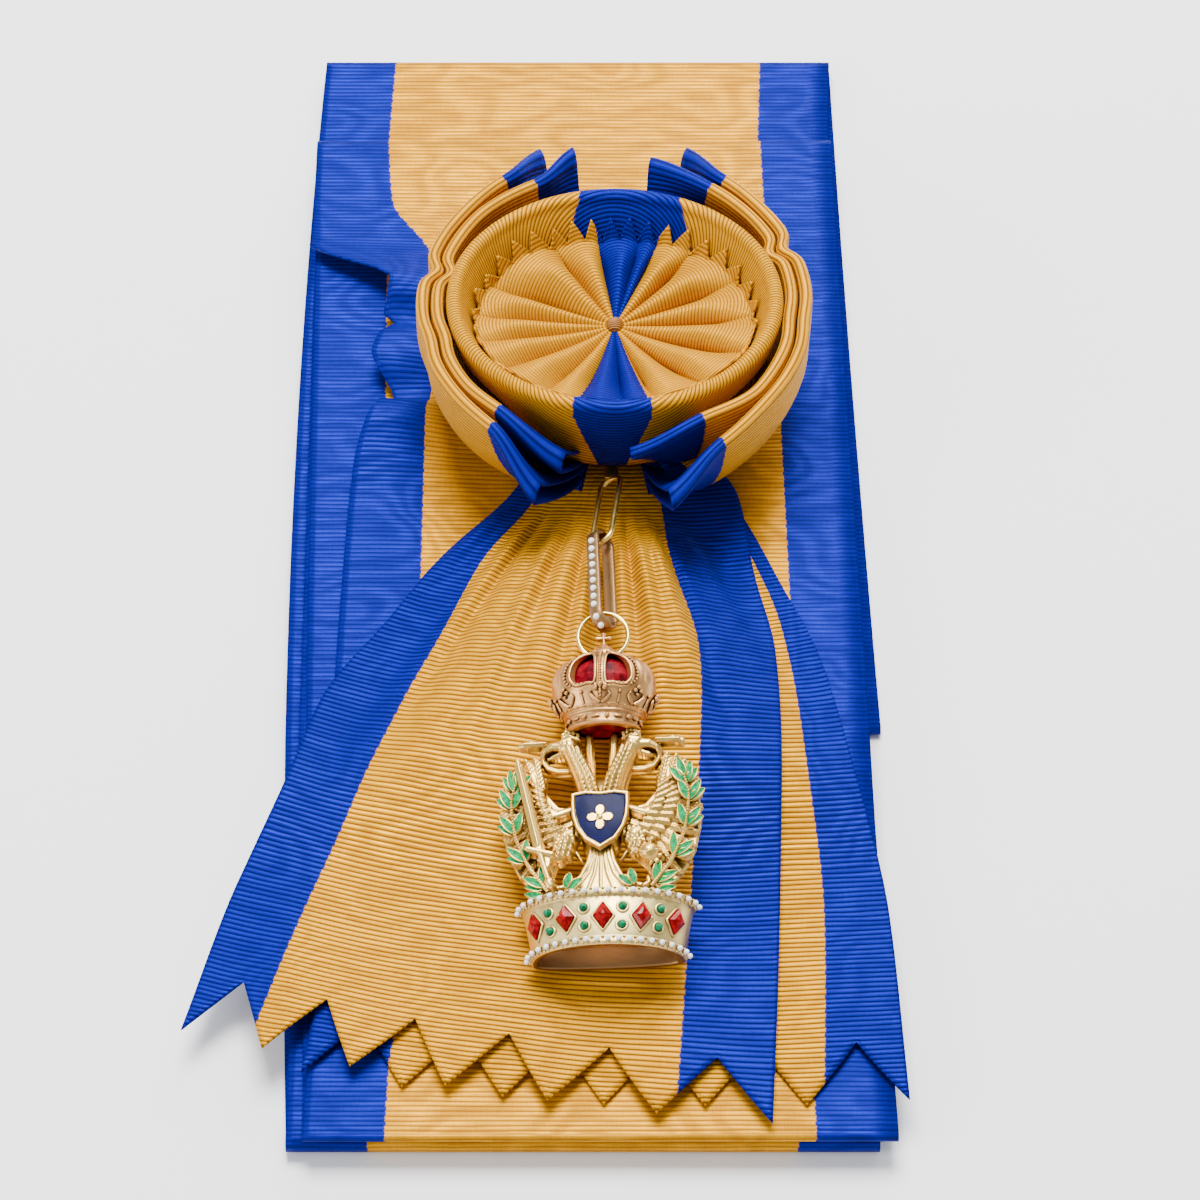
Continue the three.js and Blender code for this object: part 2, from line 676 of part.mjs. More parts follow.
// Rosette disc: a gathered bowl of cloth inside the ring, its pleats fading towards the edge
const discFoot = rosetteTop - 9.5;
const discEdge = rosetteTop - 4.2;
const discHole = knotRadius + pieceGap;

function rosetteDisc() {
  const stations = discPleats * 5;
  const shares = [0, 0.3, 0.62, 1];
  const edgeInset = ringRoll + cloth + 0.9;
  const rows = Array.from({ length: stations }, (_, k) => {
    const turn = (2 * Math.PI * k) / stations;
    const edge = ovalRadius(ringHalfLength, ringHalfDepth, turn) - edgeInset;
    const pleat = Math.cos(discPleats * turn);
    const tooth = k % 2 === 0 ? 0 : 1;
    return shares.map((share) => {
      const r = lerp(discHole + cloth / 2, edge - (share === 1 ? 1.2 * tooth : 0), share);
      const bowl = lerp(discFoot, discEdge, share ** 1.6);
      const puff = 0.9 * pleat * Math.sin(Math.PI * share ** 0.6) + 0.5 * (1 - share);
      return point(r * Math.cos(turn), r * Math.sin(turn), bowl + puff);
    });
  });
  return sheet(rows, { wrap: true });
}

function rosetteKnot() {
  const centre = point(0, 0, discFoot + 0.5);
  return ball(centre, knotRadius, knotRadius, knotHeight, 12, 8);
}

// The plain wrap under the rosette, hidden by it
function knotWrap() {
  const bottom = stackTop(0) + pieceGap;
  const top = discFoot + 0.5 - knotHeight - pieceGap;
  const waist = wrapRadius - 1;
  const profile = [
    [0, bottom],
    [waist, bottom],
    [wrapRadius, bottom + 2],
    [wrapRadius, footHeight + ringPile * wallPitch + 1],
    [waist - 2, top - 1],
    [0, top],
  ];
  const lathe = new THREE.LatheGeometry(profile.map(([r, z]) => new THREE.Vector2(r, z)), 16);
  lathe.rotateX(Math.PI / 2);
  return lathe;
}

// Badge: built flat in its own frame, X to the right, Y towards the cross and Z out of its face,
// with the back of the circlet's lower rim at the origin.
const badgeFoot = point(-0.9, -125.8, 10.6);
const badge = new THREE.Group();
badge.position.copy(badgeFoot);
badge.rotation.set(radians(badgeSlope), radians(-badgeRoll), 0, "XYZ");

// The jump ring stands in the crown's cap, and the link hangs in the ring.
const ringRadius = (ringDiameter - ringWire) / 2;
const crownTop = crownFoot + crownHeight;
const ringSeat = crownTop - 0.15;
const ringPlace = point(crownAxis - 0.1, ringSeat + ringRadius, crownMiddle);
badge.updateMatrix();
const ringTop = ringPlace.clone().add(point(0, ringRadius, 0)).applyMatrix4(badge.matrix);

// Link, hook and ring run from the rosette to the badge. Their two ends, in the part's frame
const linkStart = point(-2.7, -42.6, 22.6);
const linkEnd = ringTop.clone().add(point(0.14, -3.1, -0.1));
const linkRoll = 55;

const linkAlong = linkEnd.clone().sub(linkStart).normalize();
const linkAcross = point(-Math.cos(radians(linkRoll)), 0, Math.sin(radians(linkRoll)));
linkAcross.addScaledVector(linkAlong, -linkAcross.dot(linkAlong)).normalize();
const linkFace = linkAlong.clone().cross(linkAcross).normalize();
const linkMiddle = linkStart.clone().add(linkEnd).multiplyScalar(0.5);

// The middle line of a long round-ended loop, in its own two directions.
function roundedLoop(length, width, endSteps) {
  const radius = width / 2;
  const straight = length / 2 - radius;
  const points = [];
  for (const end of [1, -1]) {
    for (let k = 0; k <= endSteps; k += 1) {
      const turn = (Math.PI * k) / endSteps;
      points.push([end * (straight + radius * Math.sin(turn)), end * radius * Math.cos(turn)]);
    }
  }
  return points;
}

const linkLength = linkStart.distanceTo(linkEnd);

function link() {
  const length = linkLength - linkThickness;
  const width = linkWidth - linkThickness;
  const middle = roundedLoop(length, width, 5);
  const sections = middle.map(([a, b], i) => {
    const before = middle[(i + middle.length - 1) % middle.length];
    const after = middle[(i + 1) % middle.length];
    const direction = new THREE.Vector2(after[0] - before[0], after[1] - before[1]).normalize();
    const outward = new THREE.Vector2(direction.y, -direction.x);
    if (outward.x * a + outward.y * b < 0) outward.negate();
    return [
      [0.5, 0.5],
      [-0.5, 0.5],
      [-0.5, -0.5],
      [0.5, -0.5],
    ].map(([t, s]) =>
      linkMiddle
        .clone()
        .addScaledVector(linkAlong, a + outward.x * t * linkThickness)
        .addScaledVector(linkAcross, b + outward.y * t * linkThickness)
        .addScaledVector(linkFace, s * linkStrip),
    );
  });
  const parts = [skin(sections, true)];
  const radius = linkBead / 2;
  const beadPitch = (linkLength - linkWidth) / linkBeads;
  for (let k = 0; k < linkBeads; k += 1) {
    const along = (k - (linkBeads - 1) / 2) * beadPitch;
    const centre = linkMiddle
      .clone()
      .addScaledVector(linkAlong, along)
      .addScaledVector(linkAcross, linkWidth / 2);
    parts.push(ball(centre, radius, radius, radius, 10, 3));
  }
  return joined(parts);
}

function hook() {
  const hookWidth = linkStrip + 2 * (hookWire + linkPlay);
  const bend = (hookWidth - hookWire) / 2;
  const inside = bend - hookWire / 2;
  const seatDepth = linkThickness + pieceGap + bend - Math.sqrt(inside ** 2 - (linkStrip / 2) ** 2);
  const seat = linkStart.clone().addScaledVector(linkAlong, seatDepth);
  const shankFront = point(-0.6, -26.5, 17.2);
  const shankBack = point(0, -footEnd, 16.6);
  const outwards = shankFront.clone().sub(seat).normalize();
  const aside = linkFace.clone().addScaledVector(outwards, -linkFace.dot(outwards)).normalize();
  const length = seat.distanceTo(shankFront);
  const centre = seat.clone().addScaledVector(outwards, length / 2);
  const path = roundedLoop(length, 2 * bend, 6).map(([a, b]) =>
    centre.clone().addScaledVector(outwards, a).addScaledVector(aside, b),
  );
  const oval = rod(path, hookWire / 2, { closed: true, sides: 8, up: outwards.clone().cross(aside) });
  const half = shankWidth / 2;
  const shankSection = (p) =>
    [
      [-half, -0.5],
      [half, -0.5],
      [half, 0.5],
      [-half, 0.5],
    ].map(([x, z]) => p.clone().add(point(x, 0, z * shankThickness)));
  const shank = skin([shankSection(shankFront), shankSection(shankBack)]);
  return joined([oval, shank]);
}

const plateLow = 4.6;
const plateTop = plateLow + plateThickness;

// Circlet: a ring of D-shaped plan, round in front and nearly flat behind
const circletSides = 36;

function circletPoint(turn, width, inset) {
  const half = width / 2 - inset;
  const front = circletDepth * 0.74 - inset;
  const back = circletDepth * 0.26 - inset;
  const across = half * Math.cos(turn);
  const power = Math.sin(turn) >= 0 ? 1 : 0.55;
  const depth = Math.sign(Math.sin(turn)) * Math.abs(Math.sin(turn)) ** power;
  return { x: across, z: circletDepth * 0.26 + (depth >= 0 ? front : back) * depth };
}

function circletWidthAt(share) {
  return lerp(circletBottomWidth, circletWidth, share);
}

function ironCrown() {
  const rim = 0.35;
  const rimHeight = 1.5;
  const profile = [
    { inset: 0, y: 0 },
    { inset: 0, y: rimHeight },
    { inset: rim, y: rimHeight + 0.2 },
    { inset: rim, y: circletHeight - rimHeight - 0.2 },
    { inset: 0, y: circletHeight - rimHeight },
    { inset: 0, y: circletHeight },
    { inset: circletWall, y: circletHeight },
    { inset: circletWall, y: 0 },
  ];
  const sections = Array.from({ length: circletSides }, (_, k) => {
    const turn = (2 * Math.PI * k) / circletSides;
    return profile.map(({ inset, y }) => {
      const { x, z } = circletPoint(turn, circletWidthAt(y / circletHeight), inset);
      return point(x, y, z);
    });
  });
  return skin(sections, true);
}

// A frame on the circlet's face: where it is, which way is out, and which way runs along the rim.
function circletSeat(turn, y, out) {
  const width = circletWidthAt(y / circletHeight);
  const here = circletPoint(turn, width, 0);
  const beside = circletPoint(turn + 0.02, width, 0);
  const along = point(here.x - beside.x, 0, here.z - beside.z).normalize();
  const flare = (circletWidth - circletBottomWidth) / 2 / circletHeight;
  const upward = point(Math.cos(turn) * flare, 1, 0).normalize();
  const outward = along.clone().cross(upward).normalize();
  const place = point(here.x, y, here.z).addScaledVector(outward, out);
  return { place, along, upward, outward };
}

// Front azimuths that divide the circlet's front into equal steps of its rim
function frontTurns(count, margin) {
  const fine = 400;
  const width = circletWidthAt(0.5);
  const lengths = [0];
  const turns = [];
  for (let k = 0; k <= fine; k += 1) {
    turns.push(lerp(Math.PI - margin, margin, k / fine));
    if (k > 0) {
      const a = circletPoint(turns[k - 1], width, 0);
      const b = circletPoint(turns[k], width, 0);
      lengths.push(lengths[k - 1] + Math.hypot(a.x - b.x, a.z - b.z));
    }
  }
  return Array.from({ length: count }, (_, i) => {
    const want = (lengths[fine] * i) / (count - 1);
    const k = lengths.findIndex((value) => value >= want - 1e-9);
    return turns[k];
  });
}

// Pearls on their string, which follows the rim
const pearlSides = 10;

function pearlRow(y) {
  const radius = pearlDiameter / 2;
  const swell = [0.3, 0.92, 0.92];
  const steps = (pearlsPerRow - 1) * swell.length + 1;
  const places = frontTurns(steps, 0.04).map((turn) => circletSeat(turn, y, radius + pieceGap).place);
  const radii = places.map((_, k) => radius * swell[k % swell.length]);
  return rod(places, radii, { sides: pearlSides, up: point(0, 1, 0) });
}

const stoneGap = 0.05;

// A cut stone: a pointed or round girdle with a table and sloping facets
function cutStone(seat, girdle, tableShare, height) {
  const { place, along, upward, outward } = seat;
  const ring = (share, lift) =>
    girdle.map(([a, b]) =>
      place
        .clone()
        .addScaledVector(along, a * share)
        .addScaledVector(upward, b * share)
        .addScaledVector(outward, lift),
    );
  return skin([ring(0.94, 0), ring(1, height * 0.35), ring(tableShare, height)]);
}

const regular = (sides, radius) =>
  Array.from({ length: sides }, (_, k) => {
    const turn = (2 * Math.PI * (k + 0.5)) / sides;
    return [radius * Math.cos(turn), radius * Math.sin(turn)];
  });

// Stones stand across the front at equal steps: a red one, then a pair of green ones, and so on.
const stoneTurns = frontTurns(13, 0.3);
const greenShares = [0.66, 0.34];
const pearlInset = 0.75;
const redPlaces = [1, 3.5, 6, 8.5, 11];
const greenPlaces = [2.25, 4.75, 7.25, 9.75];
const turnAt = (place) => lerp(stoneTurns[Math.floor(place)], stoneTurns[Math.ceil(place)], place % 1);

function redStone(place) {
  const w = lozengeWidth / 2;
  const h = lozengeHeight / 2;
  const girdle = [
    [w, 0],
    [w * 0.52, h * 0.52],
    [0, h],
    [-w * 0.52, h * 0.52],
    [-w, 0],
    [-w * 0.52, -h * 0.52],
    [0, -h],
    [w * 0.52, -h * 0.52],
  ];
  const seat = circletSeat(turnAt(place), circletHeight / 2, stoneGap);
  return cutStone(seat, girdle, 0.45, 1.0);
}

function greenStoneAt(place, share) {
  const seat = circletSeat(turnAt(place), circletHeight * share, stoneGap);
  return cutStone(seat, regular(8, greenStone / 2), 0.55, 0.7);
}

// Imperial crown: a hollow bulb on a band, with a cap on top and open between its arches.
// Rows are shares of half its width and of its height.
const crownProfile = [
  { radius: 0.62, up: 0 },
  { radius: 0.66, up: 0.03 },
  { radius: 0.7, up: 0.16 },
  { radius: 0.83, up: 0.24 },
  { radius: 0.97, up: 0.45 },
  { radius: 1, up: 0.63 },
  { radius: 0.92, up: 0.79 },
  { radius: 0.66, up: 0.93 },
  { radius: 0.3, up: 1 },
];

function placedCrown(geometry) {
  geometry.scale(1, 1, crownDepth / crownWidth);
  geometry.translate(crownAxis, crownFoot, crownMiddle);
  return geometry;
}

function jumpRingPath(steps) {
  return Array.from({ length: steps }, (_, k) => {
    const turn = (2 * Math.PI * k) / steps;
    return ringPlace.clone().add(point(ringRadius * Math.cos(turn), ringRadius * Math.sin(turn), 0));
  });
}

function imperialCrown() {
  const half = crownWidth / 2;
  const outer = crownProfile.map(({ radius, up }) => new THREE.Vector2(radius * half, up * crownHeight));
  const inner = crownProfile
    .filter(({ up }) => up !== 0.03)
    .map(({ radius, up }) => {
      const thin = Math.max(radius * half - crownWall * 1.2, 0);
      return new THREE.Vector2(thin, Math.min(up * crownHeight, crownHeight - crownWall));
    })
    .reverse();
  const profile = [...outer, new THREE.Vector2(0, crownHeight), new THREE.Vector2(0, inner[0].y), ...inner];
  profile.push(outer[0].clone());
  const shell = placedCrown(new THREE.LatheGeometry(profile, 20));
  const top = crownTop - 0.2;
  const capRadius = capDiameter / 2;
  const capProfile = [
    [0, -0.6],
    [capRadius, -0.6],
    [capRadius, 0.5],
    [capRadius * 0.8, capHeight * 0.6],
    [capRadius * 0.35, capHeight],
    [0, capHeight],
  ].map(([r, y]) => new THREE.Vector2(r, y));
  const cap = new THREE.LatheGeometry(capProfile, 10);
  cap.translate(crownAxis, top, crownMiddle);
  const crossFoot = top + capHeight - 0.3;
  const crossUp = new THREE.BoxGeometry(0.7, 2.4, 0.7);
  crossUp.translate(crownAxis, crossFoot + 1.2, crownMiddle);
  const crossBar = new THREE.BoxGeometry(2.6, 0.7, 0.7);
  crossBar.translate(crownAxis, crossFoot + 1.5, crownMiddle);
  const bandEdge = rodRing(half * 0.7, crownHeight * 0.165, 0.4);
  const bandFoot = rodRing(half * 0.66, crownHeight * 0.02, 0.4);
  const leaves = [-0.62, -0.22, 0.22, 0.62].map((share) => {
    const x = share * half;
    const z = crownMiddle + (crownDepth / 2) * 0.86 * Math.sqrt(1 - share * share);
    return ball(point(x + crownAxis, crownFoot + crownHeight * 0.3, z), 1.0, 1.3, 0.7, 8, 4);
  });
  const opening = (side) => {
    const outline = [
      [0.097, 0.5],
      [0.108, 0.86],
      [0.258, 0.9],
      [0.495, 0.78],
      [0.57, 0.58],
      [0.452, 0.46],
      [0.237, 0.47],
    ].map(([x, up]) => [side * x * half + crownAxis, crownFoot + up * crownHeight]);
    return plate(side > 0 ? outline.reverse() : outline, crownMiddle, crownDepth);
  };
  const tunnel = rod(jumpRingPath(16), ringWire / 2 + pieceGap, { closed: true, sides: 6 });
  return joined(
    [shell, cap, crossUp, crossBar, bandEdge, bandFoot, ...leaves],
    [opening(1), opening(-1), tunnel],
  );
}

// A bead line round the crown at a height
function rodRing(radius, up, thickness) {
  const path = Array.from({ length: 20 }, (_, k) => {
    const turn = (2 * Math.PI * k) / 20;
    return point(radius * Math.cos(turn), up, radius * Math.sin(turn));
  });
  return placedCrown(rod(path, thickness, { closed: true, sides: 4, up: point(0, 1, 0) }));
}

// Red enamel body that fills the crown and shows through its openings
function crownLining() {
  const clear = crownWall * 1.2 + (pieceGap * crownWidth) / crownDepth;
  const roof = crownHeight - crownWall - pieceGap;
  const profile = crownProfile
    .filter(({ up }) => up !== 0.03)
    .map(({ radius, up }) => {
      const wide = Math.max((radius * crownWidth) / 2 - clear, 0);
      return new THREE.Vector2(wide, Math.min(Math.max(up * crownHeight, pieceGap), roof));
    });
  const closed = [new THREE.Vector2(0, pieceGap), ...profile, new THREE.Vector2(0, roof)];
  return joined([placedCrown(new THREE.LatheGeometry(closed, 20))]);
}

// Shield: a gold rim with an enamel field that stands a little below it
const shieldCentre = { x: eagleAxis, y: 24.8 };

function shieldOutline(grow) {
  const w = shieldWidth / 2 + grow;
  const h = shieldHeight / 2 + grow;
  return [
    [-w, h * 0.9],
    [-w * 0.5, h],
    [0, h * 0.92],
    [w * 0.5, h],
    [w, h * 0.9],
    [w * 0.94, h * 0.1],
    [w * 0.66, -h * 0.5],
    [0, -h],
    [-w * 0.66, -h * 0.5],
    [-w * 0.94, h * 0.1],
  ]
    .map(([x, y]) => [x + shieldCentre.x, y + shieldCentre.y])
    .reverse();
}

const bodyWidth = 10.8;
const bodyHeight = 13.2;
const bodyBulge = 1.6;
const shieldLow = plateLow + plateThickness / 2 + bodyBulge + pieceGap;

function shield() {
  const rim = plate(shieldOutline(0), shieldLow, 1.1);
  const well = plate(shieldOutline(-0.8), shieldLow + 0.8, 1);
  return joined([rim], [well]);
}

// Eagle: body, necks, heads, wings, tail, talons, ribbons, sword and orb, cast in one with two straps
const wingOutline = [
  [0.144, 0.209],
  [0.263, 0.351],
  [0.275, 0.563],
  [0.422, 0.576],
  [0.547, 0.658],
  [0.535, 0.759],
  [0.637, 0.829],
  [0.677, 0.772],
  [0.728, 0.873],
  [0.785, 0.797],
  [0.864, 0.842],
  [0.887, 0.759],
  [0.955, 0.766],
  [0.96, 0.652],
  [1, 0.557],
  [0.977, 0.43],
  [0.943, 0.304],
  [0.83, 0.165],
  [0.66, 0.051],
  [0.513, 0.019],
  [0.445, 0.089],
  [0.49, 0.209],
  [0.354, 0.291],
  [0.241, 0.184],
];
const tailOutline = [
  [0.091, 0.304],
  [0.13, 0.193],
  [0.238, 0.108],
  [0.419, 0.057],
  [0.431, -0.108],
  [-0.431, -0.108],
  [-0.419, 0.057],
  [-0.238, 0.108],
  [-0.13, 0.193],
  [-0.091, 0.304],
];
const middleDepth = plateLow + plateThickness / 2;
const eagleRise = crownFoot - circletHeight;

// A place on the eagle: out from its axis as a share of the wings' reach, to the left on side 1,
// up as a share of the way from the circlet to the crown, and lifted in shares of the plate's thickness.
function eaglePlace(out, up, lift = 0, side = 1) {
  const x = eagleAxis - side * out * wingReach;
  return point(x, circletHeight + up * eagleRise, middleDepth + lift * plateThickness);
}

function eagleOutline(rows, side = 1) {
  const outline = rows.map(([out, up]) => eaglePlace(out, up, 0, side)).map(({ x, y }) => [x, y]);
  return side > 0 ? outline.reverse() : outline;
}

// A limb of the eagle; rows are out, up, lift and its radius as a share of the wings' reach.
function limb(rows, side, sides) {
  const path = rows.map(([out, up, lift]) => eaglePlace(out, up, lift, side));
  return rod(path, rows.map((row) => row[3] * wingReach), { sides });
}

function eagleBall([out, up, lift], radii, side, sides, rings) {
  const [rx, ry, rz] = radii.map((radius) => radius * wingReach);
  return ball(eaglePlace(out, up, lift, side), rx, ry, rz, sides, rings);
}

function eagleSide(side) {
  const strapEnd = 1 - (pieceGap + 0.45) / eagleRise;
  const feathers = [0, 1, 2].map((k) => [
    [0.422 + k * 0.034, 0.449 - k * 0.063, 0.25, 0.034],
    [0.875 - k * 0.04, 0.494 - k * 0.146, 0.25, 0.023],
  ]);
  return [
    plate(eagleOutline(wingOutline, side), plateLow, plateThickness * 0.7),
    // Neck
    limb(
      [
        [0.054, 0.601, 0, 0.068],
        [0.093, 0.677, 0.15, 0.108],
        [0.195, 0.778, 0.45, 0.102],
        [0.28, 0.873, 0.55, 0.085],
      ],
      side,
      7,
    ),
    eagleBall([0.32, 0.905, 0.6], [0.108, 0.091, 0.085], side, 8, 4),
    // Beak
    limb(
      [
        [0.377, 0.911, 0.6, 0.051],
        [0.479, 0.899, 0.6, 0.034],
        [0.53, 0.87, 0.6, 0.008],
      ],
      side,
      5,
    ),
    // Small crown on the head
    limb(
      [
        [0.303, 0.924, 0.65, 0.045],
        [0.314, 0.959, 0.65, 0.068],
        [0.32, 0.978, 0.65, 0.028],
      ],
      side,
      6,
    ),
    // Ribbon from the crown, round under the beak
    limb(
      [
        [0.762, 0.943, 0.3, 0.04],
        [0.501, 0.924, 0.2, 0.034],
        [0.524, 0.842, 0, 0.031],
        [0.456, 0.785, 0, 0.031],
        [0.229, 0.778, 0, 0.031],
      ],
      side,
      4,
    ),
    // Strap up to the imperial crown
    limb(
      [
        [0.099, 0.684, -0.25, 0.045],
        [0.11, 0.842, -0.25, 0.042],
        [0.127, strapEnd, -0.15, 0.042],
      ],
      side,
      6,
    ),
    // Wing's shoulder and feathers
    limb(
      [
        [0.286, 0.525, 0.4, 0.04],
        [0.484, 0.525, 0.5, 0.051],
        [0.626, 0.604, 0.5, 0.051],
        [0.66, 0.731, 0.4, 0.034],
      ],
      side,
      5,
    ),
    ...feathers.map((rows) => limb(rows, side, 4)),
    // Thigh and talon
    limb(
      [
        [0.275, 0.399, 0.2, 0.062],
        [0.365, 0.335, 0.6, 0.113],
        [0.399, 0.259, 0.65, 0.085],
        [0.479, 0.234, 0.8, 0.051],
      ],
      side,
      6,
    ),
    eagleBall([0.513, 0.231, 1.3], [0.068, 0.062, 0.085], side, 6, 4),
  ];
}

function eagle() {
  const parts = [
    plate(eagleOutline(tailOutline), plateLow, plateThickness),
    ball(eaglePlace(0, 0.446), bodyWidth / 2, bodyHeight / 2, bodyBulge, 12, 6),
    ...eagleSide(1),
    ...eagleSide(-1),
    // Sword in the left talon
    rod(
      [
        [0.819, 0.823, 2.15],
        [0.79, 0.759, 2.15],
        [0.603, 0.291, 2.15],
        [0.586, 0.253, 2.15],
      ].map((row) => eaglePlace(...row)),
      [0.017, 0.042, 0.054, 0.034].map((radius) => radius * wingReach),
      { sides: 4, flat: 0.6 },
    ),
    limb([[0.717, 0.278, 2.15, 0.028], [0.456, 0.241, 2.15, 0.028]], 1, 6),
    limb([[0.586, 0.259, 2.05, 0.04], [0.496, 0.095, 1.85, 0.04]], 1, 6),
    eagleBall([0.484, 0.076, 1.8], [0.051, 0.051, 0.045], 1, 6, 4),
    // Orb in the right talon
    eagleBall([-0.484, 0.244, 1.85], [0.093, 0.093, 0.085], 1, 10, 6),
    eagleBall([-0.513, 0.307, 1.85], [0.031, 0.031, 0.031], 1, 6, 4),
    // Rays of the tail, spread from its root
    ...[-0.62, -0.22, 0.22, 0.62].map((share) =>
      limb(
        [
          [share * 0.113, 0.288, 0.5, 0.02],
          [share * 0.283, 0.13, 0.5, 0.025],
          [share * 0.51, 0.013, 0.5, 0.031],
        ],
        1,
        5,
      ),
    ),
  ];
  return joined(parts);
}

// Laurel branches: a stem with pairs of leaves; rows are places on the stem, out and up as on the eagle
const stems = {
  left: [
    [0.507, 0.038],
    [0.722, 0.215],
    [0.847, 0.405],
    [0.875, 0.566],
    [0.83, 0.684],
  ],
  right: [
    [0.507, 0.051],
    [0.722, 0.222],
    [0.847, 0.418],
    [0.875, 0.582],
    [0.83, 0.696],
  ],
};
const leafNodes = [0.04, 0.26, 0.48, 0.7, 0.9];
const wreathLow = plateTop + 1.0;
const leafOffset = 0.18;
const leafSpread = radians(27);

function leafSolid(x, y, angle, length) {
  const shape = [
    [0, 0],
    [0.3, 0.42],
    [0.6, 0.5],
    [1, 0],
    [0.6, -0.5],
    [0.3, -0.42],
  ].map(([a, b]) => {
    const u = a * length;
    const v = b * leafWidth;
    return [x + u * Math.cos(angle) - v * Math.sin(angle), y + u * Math.sin(angle) + v * Math.cos(angle)];
  });
  return plate(shape.reverse(), wreathLow + 0.2, 0.8);
}

function wreath(name) {
  const side = name === "left" ? 1 : -1;
  const places = stems[name].map(([out, up]) => eaglePlace(out, up, 0, side).setZ(wreathLow + 0.5));
  const curve = new THREE.CatmullRomCurve3(places);
  const path = curve.getPoints(6);
  const parts = [rod(path, [0.55, 0.5, 0.5, 0.45, 0.4, 0.35, 0.3], { sides: 5 })];
  for (const at of leafNodes) {
    const here = curve.getPoint(at);
    const heading = curve.getTangent(at);
    const angle = Math.atan2(heading.y, heading.x);
    for (const hand of [-1, 1]) {
      const x = here.x - hand * leafOffset * heading.y;
      const y = here.y + hand * leafOffset * heading.x;
      parts.push(leafSolid(x, y, angle + hand * leafSpread, leafLength));
    }
  }
  const tip = curve.getPoint(0.96);
  const end = curve.getTangent(1);
  parts.push(leafSolid(tip.x, tip.y, Math.atan2(end.y, end.x), leafLength * 0.9));
  return joined(parts);
}

function jumpRing() {
  return rod(jumpRingPath(16), ringWire / 2, { closed: true, sides: 6 });
}

// The assembly
const sash = new THREE.Group();
sash.name = "order_sash";
sash.add(
  mesh("sash_band", sashBand(), "ribbon"),
  mesh("tail_lower", tail(lowerTail, 0), "tails"),
  mesh("tail_upper", tail(upperTail, 1), "tails"),
  mesh("bow_outer_left", bowLoop(-1, loopRims.outer_left, 0), "bow"),
  mesh("bow_outer_right", bowLoop(1, loopRims.outer_right, 0), "bow"),
  mesh("bow_inner_left", bowLoop(-1, loopRims.inner_left, 2), "bow"),
  mesh("bow_inner_right", bowLoop(1, loopRims.inner_right, 2), "bow"),
  mesh("rosette_ring", rosetteRing(), "bow"),
  mesh("rosette_disc", rosetteDisc(), "bow"),
  mesh("rosette_knot", rosetteKnot(), "thread"),
  mesh("knot_wrap", knotWrap(), "thread"),
  mesh("hook", hook(), "brightGold"),
  mesh("link", link(), "oldGold"),
  badge,
);

badge.add(
  mesh("jump_ring", jumpRing(), "paleGold"),
  mesh("imperial_crown", imperialCrown(), "copperGold"),
  mesh("crown_lining", crownLining(), "redEnamel"),
  mesh("eagle", eagle(), "paleGold"),
  mesh("shield", shield(), "navyEnamel"),
  mesh("wreath_left", wreath("left"), "greenEnamel"),
  mesh("wreath_right", wreath("right"), "greenEnamel"),
  mesh("iron_crown", ironCrown(), "paleGold"),
  mesh("pearl_row_top", pearlRow(circletHeight - pearlInset), "pearl"),
  mesh("pearl_row_bottom", pearlRow(pearlInset), "pearl"),
);
redPlaces.forEach((place, k) => {
  badge.add(mesh(`red_stone_${k + 1}`, redStone(place), "redStone"));
});
greenPlaces.forEach((place, k) => {
  greenShares.forEach((share, n) => {
    badge.add(mesh(`green_stone_${2 * k + n + 1}`, greenStoneAt(place, share), "greenStone"));
  });
});

export default sash;
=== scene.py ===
# Looks of a folded sash of an order: its ribbon, bow rosette and enamelled badge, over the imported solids.
import math

import bpy
import numpy as np
from mathutils import Euler, Matrix, Vector


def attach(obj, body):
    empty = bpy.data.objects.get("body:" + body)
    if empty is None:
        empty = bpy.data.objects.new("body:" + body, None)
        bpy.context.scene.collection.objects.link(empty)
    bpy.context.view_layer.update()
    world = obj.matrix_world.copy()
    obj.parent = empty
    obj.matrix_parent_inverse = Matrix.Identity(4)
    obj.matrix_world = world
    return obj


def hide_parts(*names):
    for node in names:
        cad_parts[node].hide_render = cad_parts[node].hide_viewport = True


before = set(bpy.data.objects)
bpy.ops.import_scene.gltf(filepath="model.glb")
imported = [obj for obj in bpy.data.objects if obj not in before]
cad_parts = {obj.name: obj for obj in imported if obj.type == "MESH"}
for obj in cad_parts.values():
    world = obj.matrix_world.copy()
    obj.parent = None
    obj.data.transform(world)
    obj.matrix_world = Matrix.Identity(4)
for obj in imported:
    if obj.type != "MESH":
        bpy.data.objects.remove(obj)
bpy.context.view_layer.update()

MM = 0.001

# Sizes in millimetres, the same as the solids'
RIBBON = 101.0
STRIPE = 14.0
CLOTH = 1.0
SILK = 0.45
PITCH = 1.2
PIECE_GAP = 0.3
LAYERS = 8
SHORT_LAYERS = 2
FRONT_REACH = 156.4
SHORT_REACH = 72.0
TOP_BACK_REACH = 62.5
REAR_REACH = 87.2
TAIL_REACH = 150.0
TEETH = 6
TOOTH_DEPTH = 11.5
ROSETTE_RADIUS = 36.6
ROSETTE_TOP = 38.0
LOOP_FOLD = 2.4
WRAP_RADIUS = 7.5
RING_HALF_LENGTH = 31.0
RING_HALF_DEPTH = 26.1
RING_ROLL = 3.0
LIP_TEETH = 38
KNOT_RADIUS = 1.6
RIB = 0.93
STRIPE_SHARE = STRIPE / RIBBON


# Small shared helpers
def lerp(a, b, t):
    return a + (b - a) * t


def smooth(a, b, v):
    t = np.clip((np.asarray(v, float) - a) / (b - a), 0, 1)
    return t * t * (3 - 2 * t)


